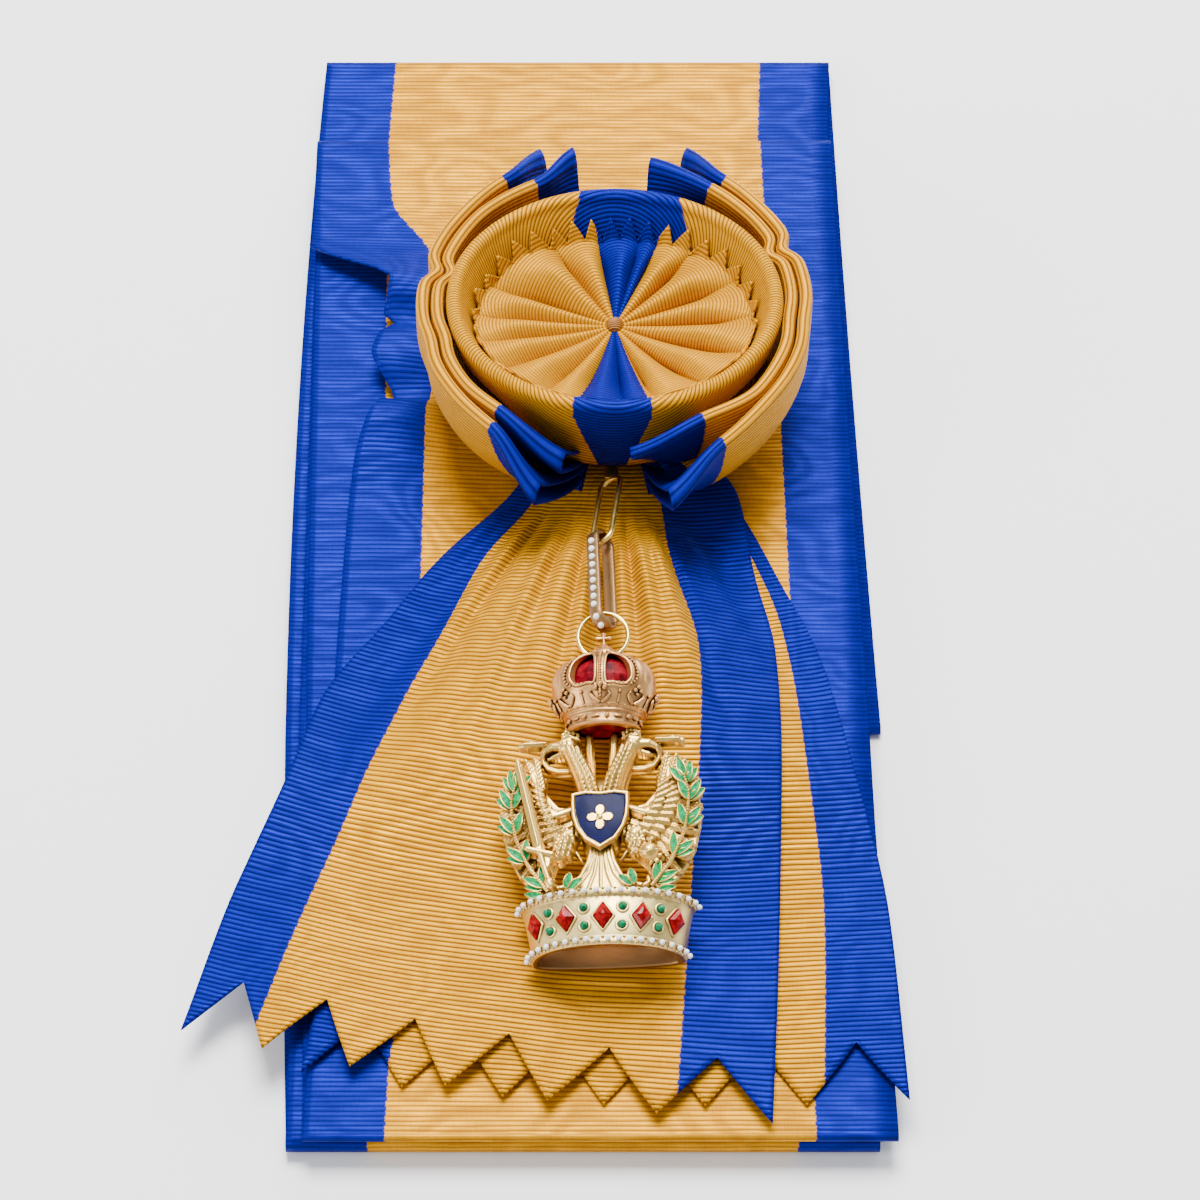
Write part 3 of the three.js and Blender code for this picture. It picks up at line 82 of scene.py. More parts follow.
def curve(xs, ys, at):
    """A smooth curve through a table's points that never overshoots between two of them."""
    xs = np.asarray(xs, float)
    ys = np.asarray(ys, float)
    at = np.clip(np.asarray(at, float), xs[0], xs[-1])
    step = np.diff(xs)
    slope = np.diff(ys) / step
    tangent = np.zeros_like(ys)
    for i in range(1, len(xs) - 1):
        if slope[i - 1] * slope[i] > 0:
            w1 = 2 * step[i] + step[i - 1]
            w2 = step[i] + 2 * step[i - 1]
            tangent[i] = (w1 + w2) / (w1 / slope[i - 1] + w2 / slope[i])
    tangent[0] = slope[0]
    tangent[-1] = slope[-1]
    i = np.clip(np.searchsorted(xs, at) - 1, 0, len(xs) - 2)
    t = (at - xs[i]) / step[i]
    h00 = 2 * t**3 - 3 * t**2 + 1
    h10 = t**3 - 2 * t**2 + t
    h01 = -2 * t**3 + 3 * t**2
    h11 = t**3 - t**2
    return h00 * ys[i] + h10 * step[i] * tangent[i] + h01 * ys[i + 1] + h11 * step[i] * tangent[i + 1]


def table_at(table, at):
    """Every further column of a table, read at a place in its first one."""
    columns = np.array(table, float).T
    return [curve(columns[0], values, at) for values in columns[1:]]


def through_three(a, b, c, t):
    return a * (2 * t - 1) * (t - 1) + b * 4 * t * (1 - t) + c * t * (2 * t - 1)


def arc_length(points):
    steps = np.linalg.norm(np.diff(points, axis=0), axis=1)
    return np.concatenate([[0], np.cumsum(steps)])


def full_turn(count):
    """That many azimuths round a circle."""
    return 2 * math.pi * np.arange(count) / count


def put_in_scene(name, data):
    ob = bpy.data.objects.new(name, data)
    bpy.context.scene.collection.objects.link(ob)
    return ob


def make_object(name, mesh, material):
    mesh.polygons.foreach_set("use_smooth", [True] * len(mesh.polygons))
    mesh.update()
    ob = put_in_scene(name, mesh)
    for one in material if isinstance(material, (list, tuple)) else [material]:
        ob.data.materials.append(one)
    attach(ob, "root")
    return ob


def grid_cells(rows, columns, wrap, wrap_columns, keep=None):
    """The row and column of each cell of a grid, and its four corners' numbers."""
    i, j = np.indices((rows if wrap else rows - 1, columns if wrap_columns else columns - 1))
    if keep is not None:
        i, j = i[keep], j[keep]
    i, j = i.ravel(), j.ravel()
    i2, j2 = (i + 1) % rows, (j + 1) % columns
    faces = np.stack([i * columns + j, i2 * columns + j, i2 * columns + j2, i * columns + j2], 1)
    return i, j, faces.tolist()


def ribbon_mesh(name, points, uv, wrap):
    """A mesh over a grid of points in millimetres; with wrap the last row joins the first one.
    uv has one more row than points when it wraps, so that the seam doesn't run back over the ribs."""
    i, j, faces = grid_cells(*points.shape[:2], wrap, False)
    mesh = bpy.data.meshes.new(name)
    mesh.from_pydata((points.reshape(-1, 3) * MM).tolist(), [], faces)
    layer = mesh.uv_layers.new(name="ribbon")
    corners = np.stack([uv[i, j], uv[i + 1, j], uv[i + 1, j + 1], uv[i, j + 1]], 1)
    layer.data.foreach_set("uv", corners.reshape(-1).astype(np.float32))
    return mesh


def cloth(name, points, uv, material, replaced, wrap=False):
    """A sheet of ribbon: its middle surface, its ribs' coordinates and the solid that it stands for."""
    ob = make_object(name, ribbon_mesh(name, points, uv, wrap), material)
    body = ob.modifiers.new("silk", "SOLIDIFY")
    body.thickness = SILK * MM
    body.offset = 0
    body.use_quality_normals = True
    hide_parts(replaced)
    return ob


# Materials
class Nodes:
    """A material's nodes, wired with plain words."""

    def __init__(self, name):
        self.material = bpy.data.materials.new(name)
        self.material.use_nodes = True
        self.tree = self.material.node_tree
        self.surface = self.tree.nodes["Principled BSDF"]

    def put(self, socket, value):
        if hasattr(value, "is_output"):
            self.tree.links.new(value, socket)
        else:
            socket.default_value = value

    def add(self, kind, inputs=None, output=0, **settings):
        node = self.tree.nodes.new(kind)
        for key, value in settings.items():
            setattr(node, key, value)
        for key, value in (inputs or {}).items():
            self.put(node.inputs[key], value)
        return node.outputs[output]

    def math(self, operation, a, b=0.0, c=0.0):
        return self.add("ShaderNodeMath", {0: a, 1: b, 2: c}, operation=operation)

    def times(self, a, b):
        return self.math("MULTIPLY", a, b)

    def times_plus(self, a, b, c):
        return self.math("MULTIPLY_ADD", a, b, c)

    def place(self):
        """The point on the object, in metres."""
        return self.add("ShaderNodeTexCoord", output=3)

    def split(self, vector):
        node = self.tree.nodes.new("ShaderNodeSeparateXYZ")
        self.put(node.inputs[0], vector)
        return node.outputs

    def mix(self, share, a, b):
        node = self.tree.nodes.new("ShaderNodeMix")
        node.data_type = "RGBA"
        self.put(node.inputs["Factor"], share)
        self.put(node.inputs["A"], a)
        self.put(node.inputs["B"], b)
        return node.outputs["Result"]

    def step(self, value, low, high, to_low=0.0, to_high=1.0):
        return self.add(
            "ShaderNodeMapRange",
            {"Value": value, "From Min": low, "From Max": high, "To Min": to_low, "To Max": to_high},
            interpolation_type="SMOOTHSTEP",
        )

    def noise(self, vector, scale, detail=2.0, roughness=0.5):
        return self.add(
            "ShaderNodeTexNoise",
            {"Vector": vector, "Scale": scale, "Detail": detail, "Roughness": roughness},
        )

    def vector(self, x, y, z=0.0):
        return self.add("ShaderNodeCombineXYZ", {0: x, 1: y, 2: z})

    def bump(self, height, distance, strength=1.0, below=None):
        inputs = {"Height": height, "Distance": distance, "Strength": strength}
        if below is not None:
            inputs["Normal"] = below
        return self.add("ShaderNodeBump", inputs)

    def finish(self, **sockets):
        for name, value in sockets.items():
            self.put(self.surface.inputs[name.replace("_", " ")], value)
        return self.material


# Yarn colours, lit and shaded: the shaded ones paint the shade in the grooves between the ribs and in the dull
# watering, as well as the darker threads
YELLOW_LIT = (0.74, 0.335, 0.0, 1)
YELLOW_SHADED = (0.15, 0.042, 0.0, 1)
BLUE_LIT = (0.002, 0.008, 0.29, 1)
BLUE_SHADED = (0.0, 0.001, 0.045, 1)


def ribbon_material(name, stripes="edges", water=1.0, rib=RIB, relief=1.0):
    """Ribbed silk, with painted shade between its ribs and its watering painted in as bright and dull sheen.
    Its coordinates are millimetres across the ribbon and along it.
    stripes says where the blue lies: along both edges, or in the middle."""
    n = Nodes(name)
    across, along, _ = n.split(n.add("ShaderNodeUVMap", uv_map="ribbon"))

    def streaks(by_across, by_along, detail, rough=0.5):
        return n.noise(n.vector(n.times(across, by_across), n.times(along, by_along)), 1.0, detail, rough)

    # Threads stray a little, so the ribs aren't ruled lines
    drift = streaks(0.06, 0.25, 1.0)
    strayed = n.times_plus(drift, 0.5, along)
    phase = n.math("DIVIDE", strayed, rib)
    saw = n.math("FRACT", phase)
    centred = n.math("ABSOLUTE", n.math("SUBTRACT", saw, 0.5))
    round_rib = n.math("SQRT", n.math("SUBTRACT", 1.0, n.times(centred, 1.96)))
    # The stripe's edge steps from rib to rib
    cell = n.math("FLOOR", phase)
    notch = n.times(n.math("SINE", n.times(cell, 2.4)), 0.10)
    rounded = n.times_plus(n.times(centred, centred), 0.9, notch)
    if stripes == "edges":
        inwards = n.math("SUBTRACT", RIBBON / 2, n.math("ABSOLUTE", n.math("SUBTRACT", across, RIBBON / 2)))
        edge = n.math("ADD", inwards, rounded)
        blue = n.step(edge, STRIPE - 0.12, STRIPE + 0.12, 1.0, 0.0)
        selvedge = n.step(inwards, 0.25, 0.7, 1.0, 0.0)
    else:
        edge = n.math("ADD", n.math("ABSOLUTE", across), rounded)
        blue = n.step(edge, STRIPE / 2 - 0.12, STRIPE / 2 + 0.12, 1.0, 0.0)
        selvedge = n.times(blue, 0.0)
    # Watered silk: long flat grain along the ribs, with soft bright and dull islands painted into the colour
    # as sheen; the bright ones are also smoother
    slow = streaks(0.030, 0.045, 1.5)
    grain = n.math("FRACT", n.times(slow, 13.0))
    waves = n.math("ABSOLUTE", n.times_plus(grain, 2.0, -1.0))
    fine = streaks(0.09, 0.75, 3.0, 0.6)
    watered_sheen = n.times(n.math("ADD", n.step(waves, 0.15, 0.85), n.step(fine, 0.35, 0.65)), 0.5)
    threads = streaks(3.2, 0.35, 2.0)
    # Painted shade in the grooves between the ribs, deeper with more relief; the threads' streaks are their
    # own tone
    groove_shade = n.times_plus(n.step(round_rib, 0.25, 0.9), relief, 0.52 * (1.0 - relief))
    light = n.times(groove_shade, n.times_plus(threads, 0.5, 0.72))
    # The watering's painted sheen brightens and dulls the colour
    light = n.times(light, n.times_plus(watered_sheen, 0.34 * water, 1.0 - 0.2 * water))
    yellow = n.mix(light, YELLOW_SHADED, YELLOW_LIT)
    blues = n.mix(light, BLUE_SHADED, BLUE_LIT)
    colour = n.mix(blue, yellow, blues)
    coarse = n.bump(round_rib, 0.26 * MM, 0.9 * relief)
    height = n.times_plus(threads, 0.35, n.times(selvedge, 0.6))
    normal = n.bump(height, 0.10 * MM, 0.7, coarse)
    roughness = n.times_plus(watered_sheen, -0.12 * water, 0.56)
    return n.finish(
        Base_Color=colour, Normal=normal, Roughness=roughness, Metallic=0.3, Specular_IOR_Level=0.06
    )


def metal_material(name, bright, deep, roughness=0.3, grain=1.0, scale=1.0):
    """Gilt metal: darker in its hollows, softly grained by chasing and casting."""
    n = Nodes(name)
    place = n.place()
    cloud = n.noise(place, 260.0 * scale, 3.0, 0.6)
    specks = n.noise(place, 1700.0 * scale, 2.0, 0.6)
    hollow = n.add("ShaderNodeAmbientOcclusion", {"Distance": 1.6 * MM}, output=1, samples=6)
    # Darker where nearby surfaces close in round a point, and in soft clouds
    hollow_and_cloud = n.times(n.step(hollow, 0.35, 0.95), n.times_plus(cloud, 0.3, 0.82))
    colour = n.mix(hollow_and_cloud, deep, bright)
    height = n.times_plus(specks, 0.6, n.times(cloud, 0.8))
    normal = n.bump(height, 0.07 * MM * grain, 0.55)
    rough = n.times_plus(specks, 0.22, roughness - 0.08)
    return n.finish(Base_Color=colour, Metallic=1.0, Roughness=rough, Normal=normal)


def enamel_material(name, bright, deep, grain=900.0, roughness=0.3):
    """Glass enamel over engraved metal: streaks of the ground show through its colour."""
    n = Nodes(name)
    place = n.place()
    streaks = n.noise(place, grain, 2.0, 0.5)
    colour = n.mix(n.step(streaks, 0.3, 0.7), deep, bright)
    normal = n.bump(n.noise(place, 500.0, 1.0), 0.05 * MM, 0.3)
    return n.finish(
        Base_Color=colour, Roughness=roughness, Normal=normal, Specular_IOR_Level=0.06, Coat_Weight=0.03,
        Coat_Roughness=0.1,
    )


def stone_material(name, bright, deep):
    n = Nodes(name)
    place = n.place()
    clouds = n.noise(place, 1400.0, 2.0, 0.5)
    # Painted glint: the stones are lighter towards their edges as the camera sees them, over clouds in the
    # stone
    edge_glint = n.add("ShaderNodeLayerWeight", {"Blend": 0.35}, output=1)
    colour = n.mix(n.times(n.math("ADD", n.step(clouds, 0.35, 0.65), edge_glint), 0.5), deep, bright)
    return n.finish(
        Base_Color=colour, Roughness=0.14, Specular_IOR_Level=0.14, Coat_Weight=0.08, Coat_Roughness=0.04
    )


def pearl_material():
    n = Nodes("white_pearl")
    place = n.place()
    clouds = n.noise(place, 900.0, 2.0, 0.5)
    colour = n.mix(clouds, (0.84, 0.82, 0.78, 1), (0.96, 0.96, 0.95, 1))
    return n.finish(
        Base_Color=colour, Roughness=0.22, Coat_Weight=0.6, Coat_Roughness=0.1, Subsurface_Weight=0.15,
        Subsurface_Scale=0.0006,
    )


def thread_material():
    n = Nodes("knot_thread")
    place = n.place()
    turns = n.math("SINE", n.times(n.split(place)[1], 2 * math.pi / (0.42 * MM)))
    fuzz = n.noise(place, 2600.0, 2.0)
    # The wound turns are painted as lit ridges and shaded grooves, over a random fuzz of tone
    light = n.times_plus(turns, 0.25, n.times_plus(fuzz, 0.6, 0.2))
    colour = n.mix(light, (0.08, 0.02, 0.003, 1), (0.50, 0.20, 0.02, 1))
    return n.finish(Base_Color=colour, Roughness=0.6, Normal=n.bump(light, 0.12 * MM, 0.8))


silk = ribbon_material("watered_ribbon", water=1.3, relief=0.45)
tail_silk = ribbon_material("tail_ribbon", water=1.25, relief=0.85)
bow_silk = ribbon_material("bow_ribbon", water=0.35, relief=0.8)
rosette_silk = ribbon_material("rosette_ribbon", stripes="middle", water=0.3, rib=0.86, relief=0.8)
disc_silk = ribbon_material("disc_ribbon", stripes="middle", water=0.3, rib=0.66, relief=0.6)
bright_gold = metal_material("bright_gold", (1.0, 0.70, 0.18, 1), (0.45, 0.22, 0.03, 1), 0.3, 0.3)
old_gold = metal_material("old_gold", (0.34, 0.19, 0.075, 1), (0.07, 0.03, 0.012, 1), 0.38)
copper_gold = metal_material("copper_gold", (0.74, 0.39, 0.14, 1), (0.10, 0.035, 0.010, 1), 0.36)
eagle_gold = metal_material("eagle_gold", (0.90, 0.59, 0.15, 1), (0.14, 0.055, 0.008, 1), 0.30, 0.5)
circlet_gold = metal_material("circlet_gold", (0.92, 0.73, 0.28, 1), (0.30, 0.16, 0.04, 1), 0.38, 0.3)
ring_gold = metal_material("ring_gold", (0.86, 0.66, 0.18, 1), (0.30, 0.16, 0.03, 1), 0.2, 0.2)
navy = enamel_material("navy_enamel", (0.002, 0.004, 0.050, 1), (0.001, 0.002, 0.030, 1), 700.0, 0.34)
green = enamel_material("green_enamel", (0.0, 0.36, 0.10, 1), (0.0, 0.15, 0.04, 1), 1500.0)
red_enamel = enamel_material("red_enamel", (0.25, 0.003, 0.012, 1), (0.05, 0.0, 0.002, 1), 700.0)
ruby = stone_material("red_stone", (0.46, 0.0, 0.006, 1), (0.10, 0.0, 0.0, 1))
emerald = stone_material("green_stone", (0.0, 0.30, 0.13, 1), (0.0, 0.09, 0.03, 1))
pearl = pearl_material()
thread = thread_material()


def wrap_material():
    """The stitched strips under the rosette: blue silk with ribs round the wrap, each rib painted lit on its
    crest and shaded in its grooves.
    """
    n = Nodes("wrap_silk")
    ribs = n.math("SINE", n.times(n.split(n.place())[2], 2 * math.pi / (RIB * MM)))
    # Painted light and shade across each rib
    light = n.times_plus(ribs, 0.4, 0.5)
    colour = n.mix(light, BLUE_SHADED, BLUE_LIT)
    return n.finish(Base_Color=colour, Roughness=0.6, Normal=n.bump(ribs, 0.1 * MM))


wrap_silk = wrap_material()


# Folded band
DROP_START = SHORT_REACH + 1.5
DROP_END = SHORT_REACH + 24


def layer_height(layer, y):
    level = LAYERS - layer
    height = CLOTH / 2 + level * PITCH
    drop = 0 if level < SHORT_LAYERS else SHORT_LAYERS * PITCH * smooth(DROP_START, DROP_END, -np.asarray(y))
    return height - drop


def stack_top(y):
    return layer_height(1, y) + CLOTH / 2


def tail_bed(y):
    """The tails are stiff and come down a little later than the stack under them."""
    return stack_top(np.minimum(np.asarray(y) + 10, 0))


# Where each folded section's middle lies, in shares of the ribbon's width: at the back, halfway, in front
SECTION_CENTRES = [
    (-0.077, -0.056, -0.026), (-0.077, -0.065, -0.055), (-0.07, -0.094, -0.055), (-0.07, -0.05, -0.023),
]
# The top layer's left edge: place as a share of the front reach, edge and stripe as shares of the width,
# lift in millimetres
TOP_LEFT_EDGE = [
    (-0.4, -0.578, -0.439, 0), (-0.29, -0.578, -0.425, 0.4), (-0.215, -0.578, -0.353, 1.2),
    (-0.185, -0.5, -0.34, 3), (-0.155, -0.425, -0.332, 4.2), (-0.125, -0.43, -0.33, 2.8),
    (-0.108, -0.437, -0.328, 0.7), (-0.096, -0.412, -0.326, 0.5), (-0.07, -0.44, -0.322, 3.6),
    (-0.036, -0.455, -0.33, 4.2), (-0.01, -0.43, -0.338, 1), (0.015, -0.41, -0.345, 0.4),
    (0.03, -0.435, -0.35, 3.6), (0.06, -0.458, -0.351, 4.4), (0.105, -0.478, -0.351, 2.4),
    (0.155, -0.486, -0.351, 0.8), (0.31, -0.496, -0.351, 0.3), (0.5, -0.504, -0.365, 0.2),
    (0.99, -0.526, -0.387, 0),
]
# Folds: where they lie, which way they point and how many layers they span
BACK_TOP = (TOP_BACK_REACH, 1, 3)
BACK_REAR = (REAR_REACH, 1, 3)
FRONT_FOLD = (-FRONT_REACH, -1, 3)
TOP_FRONT = (-FRONT_REACH, -1, 1)
SHORT_FOLD = (-SHORT_REACH, -1, 1)
# The band's runs in turn: layer, folded section and the fold at its end
BAND_RUNS = [
    (1, 1, BACK_TOP), (4, 2, FRONT_FOLD), (5, 3, BACK_REAR), (8, 4, SHORT_FOLD),
    (7, 4, BACK_REAR), (6, 3, FRONT_FOLD), (3, 2, BACK_TOP), (2, 1, TOP_FRONT),
]
BAND_SHARES = np.concatenate([np.linspace(0, 0.3, 22), np.linspace(0.33, 1, 16)])
BAND_STEP = 2.2
FOLD_STEPS = 9


def fold_middle(fold):
    y, side, span = fold
    return y - side * (span * PITCH / 2 + CLOTH / 2)


def section_centre(section, y):
    back = TOP_BACK_REACH if section < 3 else REAR_REACH
    front = -FRONT_REACH if section < 4 else -SHORT_REACH
    t = np.clip((back - y) / (back - front), 0, 1)
    return RIBBON * through_three(*SECTION_CENTRES[section - 1], t)


def band_row(layer, section, y, z):
    """One rib of the band across its width."""
    share = BAND_SHARES
    centre = section_centre(section, y)
    x = centre + (share - 0.5) * RIBBON
    lift = np.zeros_like(share)
    if layer == 1:
        edge, stripe, gathered = table_at(TOP_LEFT_EDGE, -y / FRONT_REACH)
        edge, stripe, right = RIBBON * edge, RIBBON * stripe, centre + RIBBON / 2
        x = np.where(
            share < STRIPE_SHARE,
            lerp(edge, stripe, share / STRIPE_SHARE),
            lerp(stripe, right, (share - STRIPE_SHARE) / (1 - STRIPE_SHARE)),
        )
        lift = gathered * (1 - smooth(0.02, 0.3, share))
        near_bow = np.exp(-(((y - 8) / 24) ** 2))
        lift += 0.5 * near_bow * (1 + np.sin(y * 0.62 + share * 9)) * (1 - smooth(0.1, 0.4, share))
        lift += 0.16 * (1 + np.sin(y * 0.11 + share * 7)) * smooth(0.3, 0.5, share)
    return np.stack([x, np.full_like(share, y), z + lift], 1)


def build_band():
    rows = []
    for index, (layer, section, fold) in enumerate(BAND_RUNS):
        next_layer, next_section, _ = BAND_RUNS[(index + 1) % len(BAND_RUNS)]
        start = fold_middle(BAND_RUNS[index - 1][2])
        end = fold_middle(fold)
        count = max(int(abs(end - start) / BAND_STEP), 12)
        for y in np.linspace(start, end, count):
            rows.append(band_row(layer, section, y, layer_height(layer, y)))
        radius = abs(layer - next_layer) * PITCH / 2
        high = layer_height(layer, end)
        low = layer_height(next_layer, end)
        for k in range(1, FOLD_STEPS):
            turn = math.pi * k / FOLD_STEPS
            z = (high + low) / 2 + (high - low) / 2 * math.cos(turn)
            here = band_row(layer, section, end, z)
            row = lerp(here, band_row(next_layer, next_section, end, z), k / FOLD_STEPS)
            row[:, 1] = end + fold[1] * radius * math.sin(turn)
            rows.append(row)
    points = np.array(rows)
    middle = len(BAND_SHARES) * 2 // 3
    along = arc_length(np.concatenate([points[:, middle], points[:1, middle]]))
    uv = np.stack(np.broadcast_arrays(BAND_SHARES * RIBBON, along[:, None]), 2)
    cloth("ribbon_band", points, uv, silk, "sash_band", wrap=True)


# Tails, in rows along them. Shares of the ribbon's width for x and of the tails' reach for y, at the left
# edge, in the middle and at the right edge: x, y, x, y, x, y. Then the two stripes' shares of the width.
UPPER_TAIL = [
    (-0.09, 0.055, 0.0, 0.06, 0.09, 0.055, 0.14, 0.25),
    (-0.195, 0.18, 0.01, 0.19, 0.227, 0.18, 0.12, 0.33),
    (-0.307, 0.267, -0.03, 0.3, 0.252, 0.293, 0.127, 0.265),
    (-0.408, 0.367, -0.065, 0.415, 0.286, 0.41, 0.155, 0.2),
    (-0.515, 0.467, -0.12, 0.53, 0.292, 0.533, 0.175, 0.172),
    (-0.578, 0.587, -0.17, 0.655, 0.288, 0.663, 0.158, 0.16),
    (-0.668, 0.74, -0.23, 0.81, 0.279, 0.827, 0.153, 0.149),
    (-0.739, 0.902, -0.287, 0.982, 0.262, 1.03, 0.139, 0.139),
]
LOWER_TAIL = [
    (-0.085, 0.055, 0.0, 0.06, 0.085, 0.055, 0.14, 0.14),
    (-0.18, 0.18, 0.01, 0.19, 0.228, 0.193, 0.14, 0.05),
    (-0.267, 0.287, 0.02, 0.31, 0.3, 0.3, 0.14, 0.05),
    (-0.327, 0.4, 0.015, 0.43, 0.366, 0.407, 0.14, 0.075),
    (-0.396, 0.553, 0.01, 0.585, 0.421, 0.567, 0.14, 0.1),
    (-0.465, 0.72, 0.0, 0.755, 0.472, 0.747, 0.14, 0.118),
    (-0.531, 0.96, -0.02, 1.0, 0.494, 0.995, 0.139, 0.14),
]
PLEAT_FOOT = (0.0, -8.0)
# Broad pleats first, then the fine ones between them: angle, width, height and where they fade out
BROAD_PLEATS = [
    (-36, 6, 1.6, 100), (-25, 5, 2.2, 125), (-13, 5, 2.4, 110), (8, 5.5, 2.4, 95), (19, 6, 1.2, 80),
]
FINE_PLEATS = [
    (-42, 2.2, 1.0, 95), (-31, 1.8, 1.5, 105), (-28, 1.5, -0.9, 90), (-19.5, 1.6, 1.5, 100),
    (-16, 1.5, -1.0, 80), (-9.5, 1.3, -0.9, 80), (-7, 1.5, 1.5, 94), (-3, 1.4, -1.2, 76),
    (1.5, 1.7, 1.1, 72), (4.5, 1.3, -1.3, 80), (7.5, 1.5, 1.0, 84), (12.5, 1.8, 1.3, 90),
    (15.5, 1.5, -1.2, 84), (24, 2.0, 0.9, 76),
]
TAIL_RISE = [
    (0.05, 0), (0.19, 0.4), (0.24, 2), (0.31, 5), (0.43, 6), (0.52, 4.4), (0.62, 2.2), (0.73, 0.3),
    (0.78, 0),
]
LOWER_LIFT_SHARE = 0.72
TAIL_STATIONS = 96
# From here on the rows draw together into the teeth
TAIL_BODY_END = 0.82
TAIL_PLAY = 0.7


def tail_lift(x, y, fine):
    out = np.hypot(x - PLEAT_FOOT[0], y - PLEAT_FOOT[1])
    angle = np.degrees(np.arctan2(x - PLEAT_FOOT[0], PLEAT_FOOT[1] - y))
    rise = table_at(TAIL_RISE, -y / TAIL_REACH)[0]
    lift = rise * (1 - smooth(14, 34, np.abs(angle + 2)))
    pleats = [(row, 1.0) for row in BROAD_PLEATS] + [(row, fine) for row in FINE_PLEATS]
    for (centre, width, height, end), share in pleats:
        bell = np.exp(-(((angle - centre) / width) ** 2))
        fade = smooth(22, 40, out) * (1 - smooth(end * 0.45, end, out))
        lift = lift + share * height * bell * fade
    return lift


def overhang(x, y):
    beyond = np.clip((RIBBON * -0.56 - x) / (RIBBON * 0.2), 0, 1)
    return beyond * 3.2 * smooth(0.5, 0.9, -y / TAIL_REACH)


def build_tail(name, table, order, replaced):
    shares = np.linspace(0, 1, TEETH * 20 + 1)
    table = np.array(table)
    keys = np.linspace(0, 1, len(table))

    def surface(t, share):
        """The tail's plan at a place along it and across it."""
        lx, ly, mx, my, rx, ry, left, right = (curve(keys, table[:, k], t) for k in range(8))
        along = np.where(
            share <= STRIPE_SHARE,
            left * share / STRIPE_SHARE,
            np.where(
                share >= 1 - STRIPE_SHARE,
                1 - right * (1 - share) / STRIPE_SHARE,
                lerp(left, 1 - right, (share - STRIPE_SHARE) / (1 - 2 * STRIPE_SHARE)),
            ),
        )
        x = RIBBON * through_three(lx, mx, rx, along)
        y = -TAIL_REACH * through_three(ly, my, ry, along)
        return x, y

    phase = shares * TEETH
    depth = TOOTH_DEPTH * (1 - np.abs(2 * (phase - np.floor(phase)) - 1))
    x1, y1 = surface(np.full_like(shares, 1.0), shares)
    x0, y0 = surface(np.full_like(shares, 0.95), shares)
    speed = np.hypot(x1 - x0, y1 - y0) / 0.05
    end = 1 - depth / speed
    s = np.linspace(0, 1, TAIL_STATIONS)[:, None]
    toothed = (s - TAIL_BODY_END) / (1 - TAIL_BODY_END)
    t = np.where(s < TAIL_BODY_END, s, TAIL_BODY_END + toothed * (end[None, :] - TAIL_BODY_END))
    share = np.broadcast_to(shares, t.shape)
    x, y = surface(t, share)
    fine = np.linspace(0, 1, 200)
    length = arc_length(np.stack(surface(fine, np.full_like(fine, 0.5)), 1))
    rest = PIECE_GAP + CLOTH / 2 + order * (CLOTH + TAIL_PLAY)
    lift = tail_lift(x, y, 1.0 if order else 0.3) * (1 if order else LOWER_LIFT_SHARE)
    ripple = 0.22 * np.sin(x * 0.21 + y * 0.05) * smooth(60, 110, -y)
    z = tail_bed(y) + rest + lift - overhang(x, y) + ripple
    points = np.stack([x, y, z], 2)
    uv = np.stack([share * RIBBON, np.interp(t, fine, length)], 2)
    cloth(name, points, uv, tail_silk, replaced)


# Bow loops
LOOP_OUT = [0, 0.64, 0.85, 0.96, 1, 1]
LOOP_UP = [0, 0, 0.15, 0.42, 0.74, 1]
FOOT_HEIGHT = float(stack_top(0)) + PIECE_GAP + 2 * CLOTH + TAIL_PLAY + 1.2 + CLOTH / 2
WALL_PITCH = CLOTH + PIECE_GAP
FOOT_END = WRAP_RADIUS + PIECE_GAP
# Stations across a loop's ribbon: share of its width, azimuth of its foot, and how far it bellies out
LOOP_STATIONS = [
    (0, 13, 0.35), (0.139, 30, 0.9), (0.25, 50, 1), (0.5, 90, 1), (0.75, 130, 1), (0.861, 150, 0.9),
    (1, 167, 0.35),
]
# The rims there: azimuth, shares of the rosette's radius and height, and the fold's mouth
LOOP_RIMS = {
    "outer_left": [
        (19.6, 1.117, 0.821, 2.2), (38.2, 0.985, 0.984, 1), (55, 0.967, 0.968, 1), (92, 0.967, 0.968, 1),
        (127, 0.967, 0.968, 1), (144, 0.967, 0.984, 1), (160.7, 1.13, 0.842, 2.1),
    ],
    "inner_left": [
        (15.7, 0.92, 0.855, 2.2), (40.7, 0.885, 0.984, 1), (58, 0.893, 0.968, 1), (92, 0.893, 0.968, 1),
        (128, 0.893, 0.968, 1), (151.7, 0.86, 0.984, 1), (168.5, 1.03, 0.92, 2.1),
    ],
    "outer_right": [
        (13.4, 1.15, 0.87, 2.2), (31.7, 1.01, 0.968, 1), (52, 0.967, 0.968, 1), (90, 0.967, 0.968, 1),
        (127, 0.967, 0.968, 1), (144, 0.967, 0.984, 1), (161, 1.12, 0.86, 2.1),
    ],
    "inner_right": [
        (5, 0.87, 0.89, 1), (30.9, 0.845, 0.984, 1), (54, 0.893, 0.968, 1), (90, 0.893, 0.968, 1),
        (127, 0.893, 0.968, 1), (146, 0.885, 0.984, 1), (169, 0.96, 0.93, 1.6),
    ],
}
# The loops' ends stop at the wrap, short of the knot, so that their gathers aren't bulky
LOOP_STEPS = 92
# Small dents of the rims: azimuth, width in degrees and depth in millimetres
RIM_DENTS = {"left": [(103, 3.4, 1.9), (76, 6.0, 0.7)], "right": [(112, 3.4, 1.9), (84, 7.0, 0.5)]}


